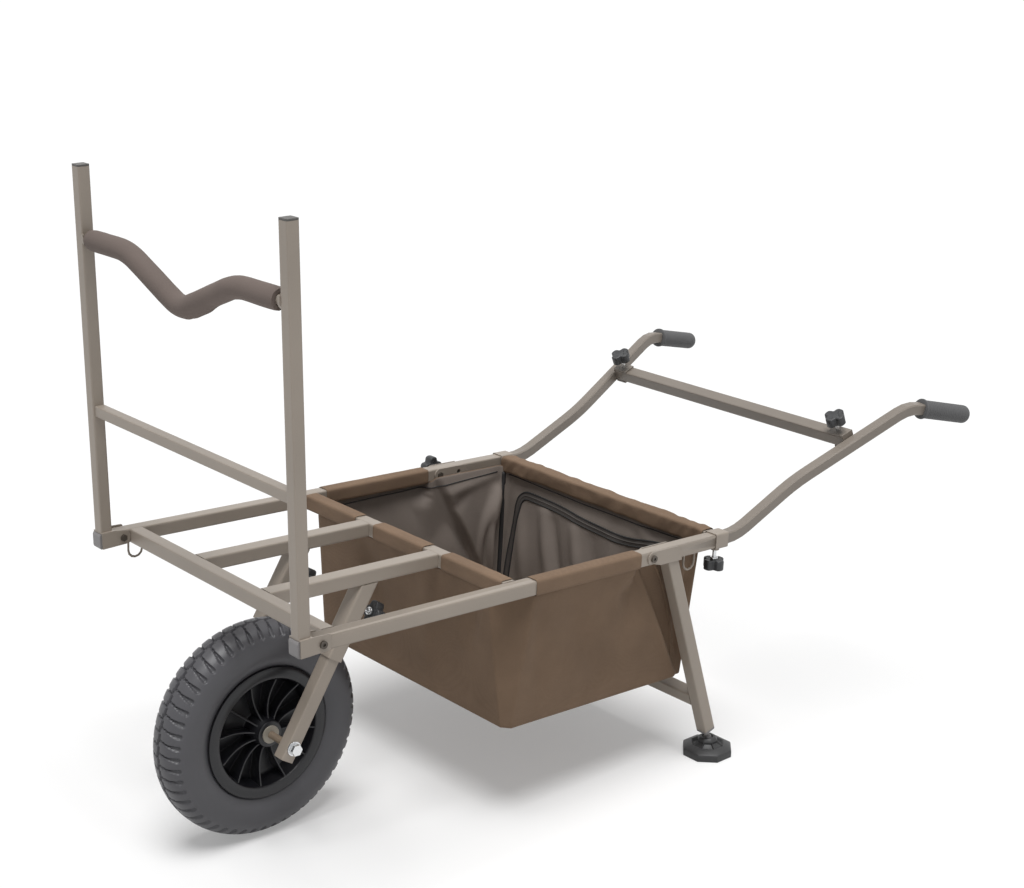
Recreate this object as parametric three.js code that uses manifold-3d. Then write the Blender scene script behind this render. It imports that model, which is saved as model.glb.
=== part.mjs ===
// Single-wheel fishing trolley: a welded square-tube chassis with a folding front gate, a
// telescopic fork with a moulded finned wheel, pull-out handles with a clamped brace, a hanging cloth
// bag and fold-away rear legs on ball-jointed mud feet. Millimetres, +Z up, +Y to the rear (the user's
// end), origin on the ground under the middle of the bounding box.
import * as THREE from 'three';
import { mergeVertices } from 'three/addons/utils/BufferGeometryUtils.js';
import Module from 'manifold-3d';

const wasm = await Module();
wasm.setup();

// Running clearances and small common values
const seat = 0.3; // gap between pieces that are welded, seated or rest on one another
const overrun = 10; // how far a cutter runs past the face that it opens
const mergeTolerance = 0.0001;
const bendSteps = 3; // straight pieces that stand for a tube's bend
const cornerShare = 0.11; // corner radius of a square tube, as a share of its side
const hexSides = 6;
const studSides = 10;
const holeSides = 12;
const roundSides = 16;
const headSides = 18;
const ringSides = 20;

// Chassis tubes, measured in the bed's own level frame with the axle as origin
const frameWidth = 635; // over the outer faces of the side rails
const railSide = 25.4;
const railWall = 1.4;
const railTop = 291; // above the axle
const railFrontEnd = -119.6;
const railRearEnd = 822;
const innerRailWidth = 30;
const innerRailSpacing = 202.4; // between the two inner rails' centres
const crossTubeSetback = 42.4; // from the rails' front ends to the front cross tube
const bagTubeFront = 298.5;
const bagTubeSetback = 31; // from the rails' rear ends to the front face of the tube behind the bag

// Wheel
const wheelRadius = 195;
const tyreHalfWidth = 45.5;
const tyreSectionRadius = 150; // radius at which the tyre is widest
const tyreBeadRadius = 114;
const tyreBeadHalfWidth = 33;
const treadDepth = 5;
const treadGrooveHalfWidth = 2.6;
const treadSlotHalfWidth = 1.3; // of a slanted groove at the middle of the tread
const treadSlotWideHalfWidth = 4.6; // of the same groove on the shoulder
const treadSlotFlareShare = 0.25; // how much wider a groove is at its mouth
const treadSlotEndShare = 0.16; // where on the shoulder a groove ends, as a share of a half turn
const lugCount = 54;
const lugSlant = THREE.MathUtils.degToRad(1.6); // how far a groove runs round the tyre on its way out
const rimLipRadius = 119;
const rimLipHalfWidth = 40;
const rimLipThickness = 5;
const rimLipBevel = 1;
const rimInnerRadius = 99;
const rimWebThickness = 5;
const finCount = 12;
const finThickness = 3;
const finOverlap = 2; // how far a fin's ends sink into the hub and the barrel
const finEdgeShares = [
  [0.8, 0.74],
  [0.58, 0.62],
  [0.4, 0.66],
];
const finHubShare = 0.8;
const finFirstAngle = THREE.MathUtils.degToRad(19);
const hubRadius = 23;
const hubHalfWidth = 43;
const hubBoreRadius = 11;
const bushFlangeRadius = 16;
const bushFlangeThickness = 3;
const axleRadius = 6;
const axleClearance = 0.3;
const washerThickness = 2;
const washerRadius = 13;
const nutThickness = 9;
const nutRadius = 10.5;
const spacerRadius = 6.6;

// Fork
const forkLean = THREE.MathUtils.degToRad(29.6);
const forkLegSide = 25.4;
const forkLegWall = 2;
const forkLegBelowAxle = 25;
const forkLegAboveAxle = 285;
const sleeveWall = 2.7;
const sleeveStart = 163; // distance from the axle to the sleeve's lower end
const forkKnobAlong = 262;

// Gate
const gatePivotSetback = 28; // from the rails' front ends to the gate's pivot
const gateLean = THREE.MathUtils.degToRad(2.95);
const uprightSide = 22.2;
const uprightWall = 1.5;
const uprightFront = -41.6; // ahead of the pivot
const uprightTop = 666; // above the pivot, over the cap
const uprightCapThickness = 3;
const uprightCapTail = 14;
const shoeWall = 2;
const shoeSideClearance = 0.5;
const shoeBottom = -13.2;
const shoeRear = 14.6;
const shoeCapFace = -45.4;
const shoeCapLength = 13;
const gateTubeSide = 19;
const gateTubeTop = 249.4;
const restHeight = 541;
const restBendInset = 133.7; // from an upright's inner face to the nearer bend of the rod rest
const restDrop = 62;
const restTubeRadius = 9.5;
const foamRadius = 18;
const foamEndGap = 13.7; // from an upright's inner face to the foam's end
const foamSides = 14;
const restBendLength = 34;
const cradleLength = 6;
const cradleWall = 3;

// Handles
const handleSide = 22;
const handleWall = 1.5;
const handleInsertion = 132; // inside the side rail
const handleFirstBendRun = 33; // from the socket's rear end to the first bend
const handleKickRun = 158; // from the first bend to the inward kick
const handleRise = THREE.MathUtils.degToRad(25.6);
const handleKick = THREE.MathUtils.degToRad(11.95);
const handleTopRun = 262; // from the kick to the bend below the grip
const handleEndRun = 160; // from that bend to the handle's end
const gripFall = THREE.MathUtils.degToRad(11.2);
const gripSplay = THREE.MathUtils.degToRad(7.9);
const handleBendLengths = [30, 36, 30]; // from each corner back to where its bend starts
const gripLength = 130;
const gripRadius = 18.4;
const gripFlangeRadius = 20.6;
const gripFlangeThickness = 4;
const gripRingCount = 4;
const gripRingDepth = 0.5;
const gripRingShare = 0.9;
const gripSides = 14;
const gripBore = 9.8;
const spigotRadius = 9.4;
const spigotLength = 112;
const socketWall = 1.8;
const socketOverhang = 3; // past the rail's rear end
const socketLength = 32;
const socketKnobRun = 13; // from the socket's front end to its knob
const braceRun = 134; // from the handle's kick to the brace
const braceSide = 25.4;
const braceLift = 5; // of its middle above the handles' centre lines
const braceClipWall = 3;
const braceClipReach = 34;

// Clamp knobs, all alike
const knobRadius = 19;
const knobLobe = 2.6;
const knobLobes = 4;
const knobThickness = 19;
const knobStudRadius = 4;
const knobStudClearance = 0.4;
const knobCentreOut = 28; // from the clamped face to the middle of the knob
const knobBossRadius = 8.5;
const knobBossHeight = 5;

// Rear legs
const legPivotY = 628.4;
const legRake = THREE.MathUtils.degToRad(20.3);
const legSide = 25.4;
const legWall = 1.5;
const legOffset = 50; // from the pivot back to the leg's centre line, at rail height
const legLength = 391.5;
const bracketWall = 2.5;
const bracketNose = 12.6;
const bracketRear = 73.5;
const bracketPlateStart = 20;
const legLockY = 24;
const legHoleY = 49;
const legBraceAlong = 322;
const ballReach = 25; // from the leg's end to the middle of the ball
const ballHeight = 30; // above the ground
const ballRadius = 8.6;
const ballClearance = 0.5;
const ballNeckRadius = 4.6;
const plugHead = 4;
const plugTail = 16;
const ballStepCount = 8;
const ballMouthTaper = 1;
const padRadius = 50;
const padEdge = 14;
const padHubRadius = 17;
const padHubTop = 34;
const padFootBevel = 3;
const padRimBevel = 2;
const padSlope = 9;
const padHubFlare = 3;
const padHubBevel = 2;
const padPocketFromHub = 5;
const padPocketFromEdge = 8;
const padSides = 8;

// Bolts, washers and the wire lashing loops
const boltRadius = 4;
const boltHeadRadius = 6.6;
const boltHeadThickness = 3.4;
const boltSocketRadius = 3;
const loopWire = 2.2;
const loopSides = 6;
const loopWidth = 32;
const loopDrop = 36;
const loopFromFront = 59.6; // from the rail's front end to the front loop
const loopFromRear = 85;

// Cloth bag and the hems that hold it to the tubes
const hemThickness = 1.4;
const hemStart = 350;
const hemEnd = 600;
const hemGapAtRail = 10.5;
const bagThickness = 4;
const bagFloor = 4; // height of its underside above the axle
const bagFloorRise = 4; // height of the rounded edge of its floor
const bagFloorRound = 4;
const bagFloorInset = 38.5; // from the frame's outer face to the bag's floor
const bagFloorFront = 330;
const bagRearSetback = 40; // from the rails' rear ends to the rear of the bag's floor
const bagFrontInset = 65.5; // from the frame's outer face to the bag's front corners
const bagRearInset = 31.5; // from the frame's outer face to the bag's rear wall
const bagShoulder = 14; // length over which the wall steps in behind the side hems
const bagCornerCut = 24;

// Places that follow from the sizes above
const railCentreX = (frameWidth - railSide) / 2;
const crossTubeFront = railFrontEnd + crossTubeSetback;
const bagTubeRear = railRearEnd - bagTubeSetback;
const gatePivotY = railFrontEnd + gatePivotSetback;
const uprightInnerFace = railCentreX - uprightSide / 2;
const restBendHalf = uprightInnerFace - restBendInset;
const foamHalfLength = uprightInnerFace - foamEndGap;
const socketEnd = railRearEnd + socketOverhang;
const socketStart = socketEnd - socketLength;
const socketKnobY = socketStart + socketKnobRun;
const handleInnerEnd = railRearEnd - handleInsertion;
const handleFirstBend = socketEnd + handleFirstBendRun;
const handleKickBend = handleFirstBend + handleKickRun;
const handleTopBend = handleKickBend + handleTopRun;
const handleEnd = handleTopBend + handleEndRun;
const braceY = handleKickBend + braceRun;
const loopFrontY = railFrontEnd + loopFromFront;
const loopRearY = railRearEnd - loopFromRear;
const bagFloorHalfWidth = frameWidth / 2 - bagFloorInset;
const bagRearHalfWidth = frameWidth / 2 - bagRearInset;
const bagFrontCorner = frameWidth / 2 - bagFrontInset;
const bagFloorRear = railRearEnd - bagRearSetback;
const railMid = railTop - railSide / 2;
const railBottom = railTop - railSide;
const innerRailX = innerRailSpacing / 2;
const railInnerFace = railCentreX - railSide / 2;
const hemEndX = railInnerFace - railSide / 4;
const sleeveSide = forkLegSide + 2 * (seat + sleeveWall);
const socketSide = railSide + 2 * (seat + socketWall);
const bracketClearance = 0.4;
const bracketUnderside = -railSide / 2 - bracketClearance - bracketWall;
const shoeOuter = railSide / 2 + shoeSideClearance + shoeWall;
const shoePlateUnderside =
  (railSide / 2) * Math.cos(gateLean) + (gatePivotY - railFrontEnd) * Math.sin(gateLean) + seat;
const legTopBack = legOffset + -bracketUnderside * Math.tan(legRake);
const ballY = legPivotY + legTopBack + (legLength + ballReach) * Math.sin(legRake);
const ballZ = railMid + bracketUnderside - (legLength + ballReach) * Math.cos(legRake);
const ballDistance = Math.hypot(ballY, ballZ);
const bedPitch = Math.atan2(ballZ, ballY) - Math.asin((ballHeight - wheelRadius) / ballDistance);

const finish = {
  frame: { color: '#9c9084', roughness: 0.5, metalness: 0.35 },
  plug: { color: '#5a5751', roughness: 0.6, metalness: 0 },
  knob: { color: '#333538', roughness: 0.55, metalness: 0 },
  zinc: { color: '#c4c6c8', roughness: 0.3, metalness: 0.9 },
  tyre: { color: '#4b4b4e', roughness: 0.85, metalness: 0 },
  rim: { color: '#1d1e20', roughness: 0.4, metalness: 0 },
  bush: { color: '#8b7c66', roughness: 0.6, metalness: 0 },
  grip: { color: '#58585a', roughness: 0.8, metalness: 0 },
  foam: { color: '#6e5f58', roughness: 0.95, metalness: 0 },
  cloth: { color: '#6b5a4b', roughness: 0.9, metalness: 0 },
  hem: { color: '#82705f', roughness: 0.9, metalness: 0 },
};

function material(name) {
  return new THREE.MeshStandardMaterial(finish[name]);
}

// Solids for joins and cuts
function solidOf(geometry) {
  const bare = new THREE.BufferGeometry();
  bare.setAttribute('position', geometry.getAttribute('position'));
  bare.setIndex(geometry.getIndex());
  const merged = mergeVertices(bare, mergeTolerance);
  const faces = [];
  const index = merged.getIndex().array;
  for (let i = 0; i < index.length; i += 3) {
    const [a, b, c] = [index[i], index[i + 1], index[i + 2]];
    if (a !== b && b !== c && c !== a) faces.push(a, b, c);
  }
  const vertProperties = new Float32Array(merged.getAttribute('position').array);
  const make = (order) => {
    const triVerts = new Uint32Array(order);
    return new wasm.Manifold(new wasm.Mesh({ numProp: 3, vertProperties, triVerts }));
  };
  const solid = make(faces);
  return solid.volume() > 0 ? solid : make(faces.reverse());
}

function geometryOf(solid) {
  const mesh = solid.getMesh();
  const geometry = new THREE.BufferGeometry();
  geometry.setAttribute('position', new THREE.BufferAttribute(new Float32Array(mesh.vertProperties), 3));
  geometry.setIndex(new THREE.BufferAttribute(new Uint32Array(mesh.triVerts), 1));
  geometry.computeVertexNormals();
  return geometry;
}

function join(first, ...others) {
  return geometryOf(others.reduce((solid, other) => solid.add(solidOf(other)), solidOf(first)));
}

function cut(body, ...cutters) {
  return geometryOf(cutters.reduce((solid, cutter) => solid.subtract(solidOf(cutter)), solidOf(body)));
}

// Basic forms
function box(x, y, z, centre) {
  return new THREE.BoxGeometry(x, y, z).translate(centre[0], centre[1], centre[2]);
}

// A cylinder along X, Y or Z between two places on that axis
function rod(axis, radius, from, to, centre, sides = roundSides) {
  const geometry = new THREE.CylinderGeometry(radius, radius, to - from, sides);
  geometry.translate(0, (from + to) / 2, 0);
  if (axis === 'x') geometry.rotateZ(-Math.PI / 2);
  if (axis === 'z') geometry.rotateX(Math.PI / 2);
  return geometry.translate(centre[0], centre[1], centre[2]);
}

function squareShape(width, height) {
  const chamfer = Math.min(width, height) * cornerShare;
  const x = width / 2;
  const y = height / 2;
  const shape = new THREE.Shape();
  shape.moveTo(x, y - chamfer);
  shape.quadraticCurveTo(x, y, x - chamfer, y);
  shape.lineTo(chamfer - x, y);
  shape.quadraticCurveTo(-x, y, -x, y - chamfer);
  shape.lineTo(-x, chamfer - y);
  shape.quadraticCurveTo(-x, -y, chamfer - x, -y);
  shape.lineTo(x - chamfer, -y);
  shape.quadraticCurveTo(x, -y, x, chamfer - y);
  return shape;
}

function squareHole(width, height) {
  const hole = new THREE.Path();
  hole.moveTo(width / 2, height / 2);
  hole.lineTo(width / 2, -height / 2);
  hole.lineTo(-width / 2, -height / 2);
  hole.lineTo(-width / 2, height / 2);
  return hole;
}

// A hollow square tube along Z, from z = 0 up
function tube(width, height, wall, length) {
  const shape = squareShape(width, height);
  shape.holes.push(squareHole(width - 2 * wall, height - 2 * wall));
  return new THREE.ExtrudeGeometry(shape, { depth: length, bevelEnabled: false, curveSegments: 2 });
}

function tubeAlongY(width, height, wall, from, to, centreX, centreZ) {
  const geometry = tube(width, height, wall, to - from);
  return geometry.rotateX(-Math.PI / 2).translate(centreX, from, centreZ);
}

function tubeAlongX(side, wall, from, to, centreY, centreZ) {
  const geometry = tube(side, side, wall, to - from);
  return geometry.rotateY(Math.PI / 2).translate(from, centreY, centreZ);
}

function tubeAlongZ(side, wall, from, to, centreX, centreY) {
  return tube(side, side, wall, to - from).translate(centreX, centreY, from);
}

// Closed outline in the Y-Z plane, given thickness along X
function plateAcrossX(points, from, to) {
  const shape = new THREE.Shape(points.map(([y, z]) => new THREE.Vector2(y, z)));
  const geometry = new THREE.ExtrudeGeometry(shape, { depth: to - from, bevelEnabled: false });
  geometry.applyMatrix4(new THREE.Matrix4().set(0, 0, 1, from, 1, 0, 0, 0, 0, 1, 0, 0, 0, 0, 0, 1));
  return geometry;
}

function arc(centreY, centreZ, radius, fromDegrees, toDegrees, steps) {
  return Array.from({ length: steps + 1 }, (_, i) => {
    const angle = THREE.MathUtils.degToRad(fromDegrees + ((toDegrees - fromDegrees) * i) / steps);
    return [centreY + radius * Math.cos(angle), centreZ + radius * Math.sin(angle)];
  });
}

// A body turned about the X axis; profile points are [x, radius]
function turned(points, segments) {
  const profile = points.map(([x, radius]) => new THREE.Vector2(radius, x));
  return new THREE.LatheGeometry(profile, segments).rotateZ(-Math.PI / 2);
}

// Points along straight runs whose corners are rounded
function bentPath(points, bends) {
  const path = [points[0]];
  for (let i = 1; i < points.length - 1; i += 1) {
    const corner = points[i];
    const before = corner.clone().add(points[i - 1].clone().sub(corner).setLength(bends[i - 1]));
    const after = corner.clone().add(points[i + 1].clone().sub(corner).setLength(bends[i - 1]));
    path.push(...new THREE.QuadraticBezierCurve3(before, corner, after).getPoints(bendSteps));
  }
  return [...path, points[points.length - 1]];
}

// A body of constant section along a path, mitred at each point; section points are [across, up]
function swept(path, section, up) {
  const first = path[1].clone().sub(path[0]).normalize();
  const across = new THREE.Vector3().crossVectors(first, up).normalize();
  const upright = new THREE.Vector3().crossVectors(across, first);
  let ring = section.map(([a, b]) => path[0].clone().addScaledVector(across, a).addScaledVector(upright, b));
  const rings = [ring];
  for (let i = 1; i < path.length; i += 1) {
    const along = path[i].clone().sub(path[i - 1]).normalize();
    const next = i + 1 < path.length ? path[i + 1].clone().sub(path[i]).normalize() : along;
    const normal = along.clone().add(next).normalize();
    ring = ring.map((point) => {
      const travel = path[i].clone().sub(point).dot(normal) / along.dot(normal);
      return point.clone().addScaledVector(along, travel);
    });
    rings.push(ring);
  }
  return loft(rings);
}

function roundSection(radius, count) {
  return Array.from({ length: count }, (_, i) => {
    const angle = (i * 2 * Math.PI) / count;
    return [radius * Math.cos(angle), radius * Math.sin(angle)];
  });
}

function add(group, name, geometry, look) {
  const mesh = new THREE.Mesh(geometryOf(solidOf(geometry)), material(look));
  mesh.name = name;
  group.add(mesh);
  return mesh;
}

const sides = [
  ['left', -1],
  ['right', 1],
];

// Chassis
function sideRail(side) {
  const x = side * railCentreX;
  const rail = tubeAlongY(railSide, railSide, railWall, railFrontEnd, railRearEnd, x, railMid);
  const reach = railSide;
  const holes = [gatePivotY, legPivotY, legPivotY + legHoleY].map((y) =>
    rod('x', boltRadius + seat, -reach, reach, [x, y, railMid], holeSides),
  );
  const studHole = rod('z', knobStudRadius + seat, -railSide, 0, [x, socketKnobY, railMid], holeSides);
  const loops = [loopFrontY, loopRearY].map((y) => lashingLoop().translate(x, y, railBottom + railWall / 2));
  return cut(join(rail, ...loops), ...holes, studHole);
}

function innerRail(side) {
  const from = crossTubeFront + railSide + seat;
  const to = bagTubeFront - seat;
  return tubeAlongY(innerRailWidth, railSide, railWall, from, to, side * innerRailX, railMid);
}

function crossTube(front, end) {
  return tubeAlongX(railSide, railWall, -end, end, front + railSide / 2, railMid);
}

function handleSocket(side) {
  const x = side * railCentreX;
  const sleeve = tubeAlongY(socketSide, socketSide, socketWall, socketStart, socketEnd, x, railMid);
  const face = railMid - socketSide / 2;
  const boss = rod('z', knobBossRadius, -knobBossHeight, socketWall / 2, [x, socketKnobY, face]);
  const holeRadius = knobStudRadius + knobStudClearance;
  const hole = rod('z', holeRadius, -overrun, overrun, [x, socketKnobY, face], holeSides);
  return cut(join(sleeve, boss), hole);
}

function forkSleeve() {
  const top = (railBottom + sleeveSide) / Math.cos(forkLean);
  const sleeve = tubeAlongZ(sleeveSide, sleeveWall, sleeveStart, top, 0, 0);
  const face = sleeveSide / 2;
  const boss = rod('y', knobBossRadius, -sleeveWall / 2, knobBossHeight, [0, face, forkKnobAlong]);
  const holeRadius = knobStudRadius + knobStudClearance;
  const hole = rod('y', holeRadius, -overrun, overrun, [0, face, forkKnobAlong], holeSides);
  const whole = cut(join(sleeve, boss), hole).rotateX(-forkLean);
  const height = railTop;
  const above = box(frameWidth, 2 * height, height, [0, height / 2, railBottom - seat + height / 2]);
  return cut(whole, above);
}

// A wire loop with straight shanks and a half-round bottom, welded under a side rail
function lashingLoop() {
  const half = loopWidth / 2 - loopWire;
  const shank = loopDrop - loopWire - half;
  const points = [[half, 0], ...arc(0, -shank, half, 0, -180, loopSides), [-half, 0]];
  const path = points.map(([y, z]) => new THREE.Vector3(0, y, z));
  return swept(path, roundSection(loopWire, loopSides), new THREE.Vector3(1, 0, 0));
}

// A socket-head bolt along X with its nut; the head is on the outer side
function crossBolt(side, from, to) {
  const head = rod('x', boltHeadRadius, to, to + boltHeadThickness, [0, 0, 0], headSides);
  const shank = rod('x', boltRadius, from, to + boltHeadThickness / 2, [0, 0, 0], holeSides);
  const nut = rod('x', boltHeadRadius, from - boltHeadThickness, from, [0, 0, 0], hexSides);
  const key = rod('x', boltSocketRadius, to + boltHeadThickness / 3, to + overrun, [0, 0, 0], hexSides);
  const bolt = cut(join(head, shank, nut), key);
  if (side < 0) bolt.rotateZ(Math.PI);
  return bolt;
}

// Clamp knob with its stud along -Z; the face that it clamps is at z = 0
function clampKnob(studInside) {
  const count = knobLobes * 4;
  const outline = Array.from({ length: count }, (_, i) => {
    const angle = (i * 2 * Math.PI) / count;
    const radius = knobRadius + knobLobe * Math.cos(knobLobes * angle);
    return new THREE.Vector2(radius * Math.cos(angle), radius * Math.sin(angle));
  });
  const bevel = knobLobe;
  const depth = knobThickness - 2 * bevel;
  const bevels = { bevelThickness: bevel, bevelSize: bevel, bevelOffset: -bevel, bevelSegments: 1 };
  const head = new THREE.ExtrudeGeometry(new THREE.Shape(outline), { depth, ...bevels });
  head.translate(0, 0, knobCentreOut - knobThickness / 2 + bevel);
  const stud = rod('z', knobStudRadius, -studInside, knobCentreOut, [0, 0, 0], studSides);
  return join(head, stud);
}

function addKnob(group, name, studInside, position, rotation) {
  const knob = add(group, name, clampKnob(studInside), 'knob');
  knob.position.set(position[0], position[1], position[2]);
  knob.rotation.set(rotation[0], rotation[1], rotation[2]);
  return knob;
}

// Bag and hems
function crossHem(from, to, tubeFront) {
  const outer = railSide + 2 * (seat + hemThickness);
  return tubeAlongX(outer, hemThickness, from, to, tubeFront + railSide / 2, railMid);
}

function sideHem(side) {
  const outer = railSide + 2 * (seat + hemThickness);
  return tubeAlongY(outer, outer, hemThickness, hemStart, hemEnd, side * railCentreX, railMid);
}

// One level of the bag: its outline stepped in by an inset, at a given height
function bagRing(level, inset, height) {
  const top = level === 'top';
  const front = (top ? bagTubeFront - seat : bagFloorFront) + inset;
  const rear = (top ? bagTubeRear + railSide - seat : bagFloorRear) - inset;
  const corner = (top ? bagFrontCorner : bagFloorHalfWidth - bagCornerCut) - inset;
  const sideX = (top ? frameWidth / 2 + hemThickness : bagFloorHalfWidth) - inset;
  const rearX = (top ? bagRearHalfWidth : bagFloorHalfWidth) - inset;
  const half = [
    [corner, front],
    [sideX, top ? hemStart : bagFloorFront + bagCornerCut],
    [sideX, hemEnd],
    [rearX, hemEnd + bagShoulder],
    [rearX, rear - bagCornerCut],
    [rearX - bagCornerCut, rear],
  ];
  const mirrored = half.map(([x, y]) => [-x, y]).reverse();
  return [...half, ...mirrored].map(([x, y]) => new THREE.Vector3(x, y, height));
}

// A closed body through rings of equal point count, from the lowest up
function loft(rings) {
  const count = rings[0].length;
  const points = rings.flat();
  const faces = [];
  for (let level = 0; level < rings.length - 1; level += 1) {
    for (let i = 0; i < count; i += 1) {
      const a = level * count + i;
      const b = level * count + ((i + 1) % count);
      faces.push(a, b, b + count, a, b + count, a + count);
    }
  }
  const middle = (ring) => ring.reduce((sum, p) => sum.add(p), new THREE.Vector3()).divideScalar(count);
  const bottom = points.push(middle(rings[0])) - 1;
  const top = points.push(middle(rings[rings.length - 1])) - 1;
  const last = (rings.length - 1) * count;
  for (let i = 0; i < count; i += 1) {
    const next = (i + 1) % count;
    faces.push(bottom, next, i, top, last + i, last + next);
  }
  const geometry = new THREE.BufferGeometry().setFromPoints(points);
  geometry.setIndex(faces);
  return geometry;
}

function bag() {
  const rim = railBottom - seat - hemThickness / 2;
  const outer = loft([
    bagRing('floor', bagFloorRound, bagFloor),
    bagRing('floor', 0, bagFloor + bagFloorRise),
    bagRing('top', 0, rim),
  ]);
  const steep = (overrun * bagThickness) / rim;
  const inner = loft([
    bagRing('floor', bagFloorRound + bagThickness, bagFloor + bagThickness),
    bagRing('floor', bagThickness, bagFloor + bagFloorRise),
    bagRing('top', bagThickness, rim),
    bagRing('top', bagThickness - steep, rim + overrun),
  ]);
  const gap = innerRailWidth / 2 + hemGapAtRail;
  const hems = [
    crossHem(-hemEndX, -innerRailX - gap, bagTubeFront),
    crossHem(gap - innerRailX, innerRailX - gap, bagTubeFront),
    crossHem(innerRailX + gap, hemEndX, bagTubeFront),
    crossHem(-hemEndX, hemEndX, bagTubeRear),
    sideHem(-1),
    sideHem(1),
  ];
  return join(cut(outer, inner), ...hems);
}

// Wheel
function tyreProfile() {
  const section = wheelRadius - tyreSectionRadius;
  const side = (share) => {
    const angle = share * Math.PI;
    return [tyreHalfWidth * Math.cos(angle), tyreSectionRadius + section * Math.sin(angle)];
  };
  const shoulderShares = [0.02, 0.2, 0.37];
  const half = [[tyreBeadHalfWidth, tyreBeadRadius], [tyreBeadHalfWidth, rimLipRadius + 2 * seat]];
  half.push(...shoulderShares.map(side));
  half.push([treadGrooveHalfWidth, wheelRadius], [treadGrooveHalfWidth / 2, wheelRadius - treadDepth]);
  const mirrored = half.map(([x, radius]) => [-x, radius]).reverse();
  return [...half, ...mirrored, half[0]];
}

// A wedge that cuts one slanted groove: narrow at the middle of the tread, wide on the shoulder
function treadCutter(side, angle) {
  const start = { x: treadGrooveHalfWidth / 2, radius: wheelRadius - treadDepth, half: treadSlotHalfWidth };
  const endAngle = treadSlotEndShare * Math.PI;
  const endRadius = tyreSectionRadius + (wheelRadius - tyreSectionRadius) * Math.sin(endAngle);
  const endX = tyreHalfWidth * Math.cos(endAngle) + treadDepth / 2;
  const end = { x: endX, radius: endRadius - treadDepth / 3, half: treadSlotWideHalfWidth };
  const points = [];
  for (const [place, turn] of [[start, 0], [end, lugSlant]]) {
    for (const [lift, edge] of [[0, -1], [0, 1], [1, 1], [1, -1]]) {
      const radius = place.radius + lift * 3 * treadDepth;
      const spread = (edge * place.half * (1 + lift * treadSlotFlareShare)) / place.radius;
      const a = angle + turn + spread;
      points.push(new THREE.Vector3(side * place.x, radius * Math.cos(a), radius * Math.sin(a)));
    }
  }
  const rings = [points.slice(0, 4), points.slice(4)];
  if (side > 0) rings.forEach((ring) => ring.reverse());
  return loft(rings);
}

function tyre() {
  let solid = solidOf(turned(tyreProfile(), lugCount).rotateX(Math.PI / lugCount));
  const pitch = (2 * Math.PI) / lugCount;
  for (const side of [-1, 1]) {
    const grooves = Array.from({ length: lugCount }, (_, i) => {
      const phase = side > 0 ? 0 : pitch / 2;
      return solidOf(treadCutter(side, i * pitch + phase));
    });
    solid = solid.subtract(wasm.Manifold.union(grooves));
  }
  return geometryOf(solid);
}

// The rim's barrel, lips, web and hub in one turned section
function rimProfile() {
  const wall = rimLipThickness;
  const half = [
    [hubHalfWidth, hubBoreRadius],
    [hubHalfWidth, hubRadius],
    [rimWebThickness / 2, hubRadius + wall],
    [rimWebThickness / 2, rimInnerRadius - wall],
    [rimLipHalfWidth - wall, rimInnerRadius],
    [rimLipHalfWidth, rimInnerRadius + wall],
    [rimLipHalfWidth + rimLipBevel, rimLipRadius - wall],
    [rimLipHalfWidth - rimLipBevel, rimLipRadius],
    [rimLipHalfWidth - wall, rimLipRadius - seat],
    [tyreBeadHalfWidth + seat, tyreBeadRadius - seat],
  ];
  const mirrored = half.map(([x, radius]) => [-x, radius]).reverse();
  return [...half, ...mirrored, half[0]];
}

// One radial fin with its dished outer edge, on one face of the web
function fin(side, angle) {
  const root = rimWebThickness / 4;
  const outline = [
    [hubRadius - finOverlap, root],
    [rimInnerRadius + finOverlap, root],
    [rimInnerRadius + finOverlap, rimLipHalfWidth - rimLipBevel],
    [rimInnerRadius - finOverlap, rimLipHalfWidth],
    ...finEdgeShares.map(([out, across]) => [rimInnerRadius * out, rimLipHalfWidth * across]),
    [hubRadius - finOverlap, rimLipHalfWidth * finHubShare],
  ];
  const shape = new THREE.Shape(outline.map(([radius, x]) => new THREE.Vector2(radius, x)));
  const plate = new THREE.ExtrudeGeometry(shape, { depth: finThickness, bevelEnabled: false });
  plate.translate(0, 0, -finThickness / 2);
  plate.applyMatrix4(new THREE.Matrix4().set(0, 1, 0, 0, 1, 0, 0, 0, 0, 0, -1, 0, 0, 0, 0, 1));
  if (side < 0) plate.rotateY(Math.PI);
  return plate.rotateX(angle);
}

function rim() {
  let solid = solidOf(turned(rimProfile(), 3 * finCount).rotateX(finFirstAngle + Math.PI / 3 / finCount));
  for (const side of [-1, 1]) {
    for (let i = 0; i < finCount; i += 1) {
      const angle = finFirstAngle + (i * 2 * Math.PI) / finCount;
      solid = solid.add(solidOf(fin(side, angle)));
    }
  }
  return geometryOf(solid);
}

function bush(side) {
  const bore = axleRadius + axleClearance;
  const points = [
    [hubHalfWidth / 2, bore],
    [hubHalfWidth + seat + bushFlangeThickness, bore],
    [hubHalfWidth + seat + bushFlangeThickness, bushFlangeRadius],
    [hubHalfWidth + seat, bushFlangeRadius],
    [hubHalfWidth + seat, hubBoreRadius - seat],
    [hubHalfWidth / 2, hubBoreRadius - seat],
    [hubHalfWidth / 2, bore],
  ];
  const geometry = turned(points, ringSides);
  return side < 0 ? geometry.rotateZ(Math.PI) : geometry;
}

// Fork pieces, in the frame of the fork: origin on the axle, +Z up the legs
function forkLeg() {
  const tubeBody = tubeAlongZ(forkLegSide, forkLegWall, -forkLegBelowAxle, forkLegAboveAxle, 0, 0);
  const inside = forkLegSide - forkLegWall;
  const leg = join(tubeBody, box(inside, inside, forkLegWall, [0, 0, forkLegWall - forkLegBelowAxle]));
  return cut(leg, rod('x', axleRadius + seat, -forkLegSide, forkLegSide, [0, 0, 0], roundSides));
}

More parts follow.
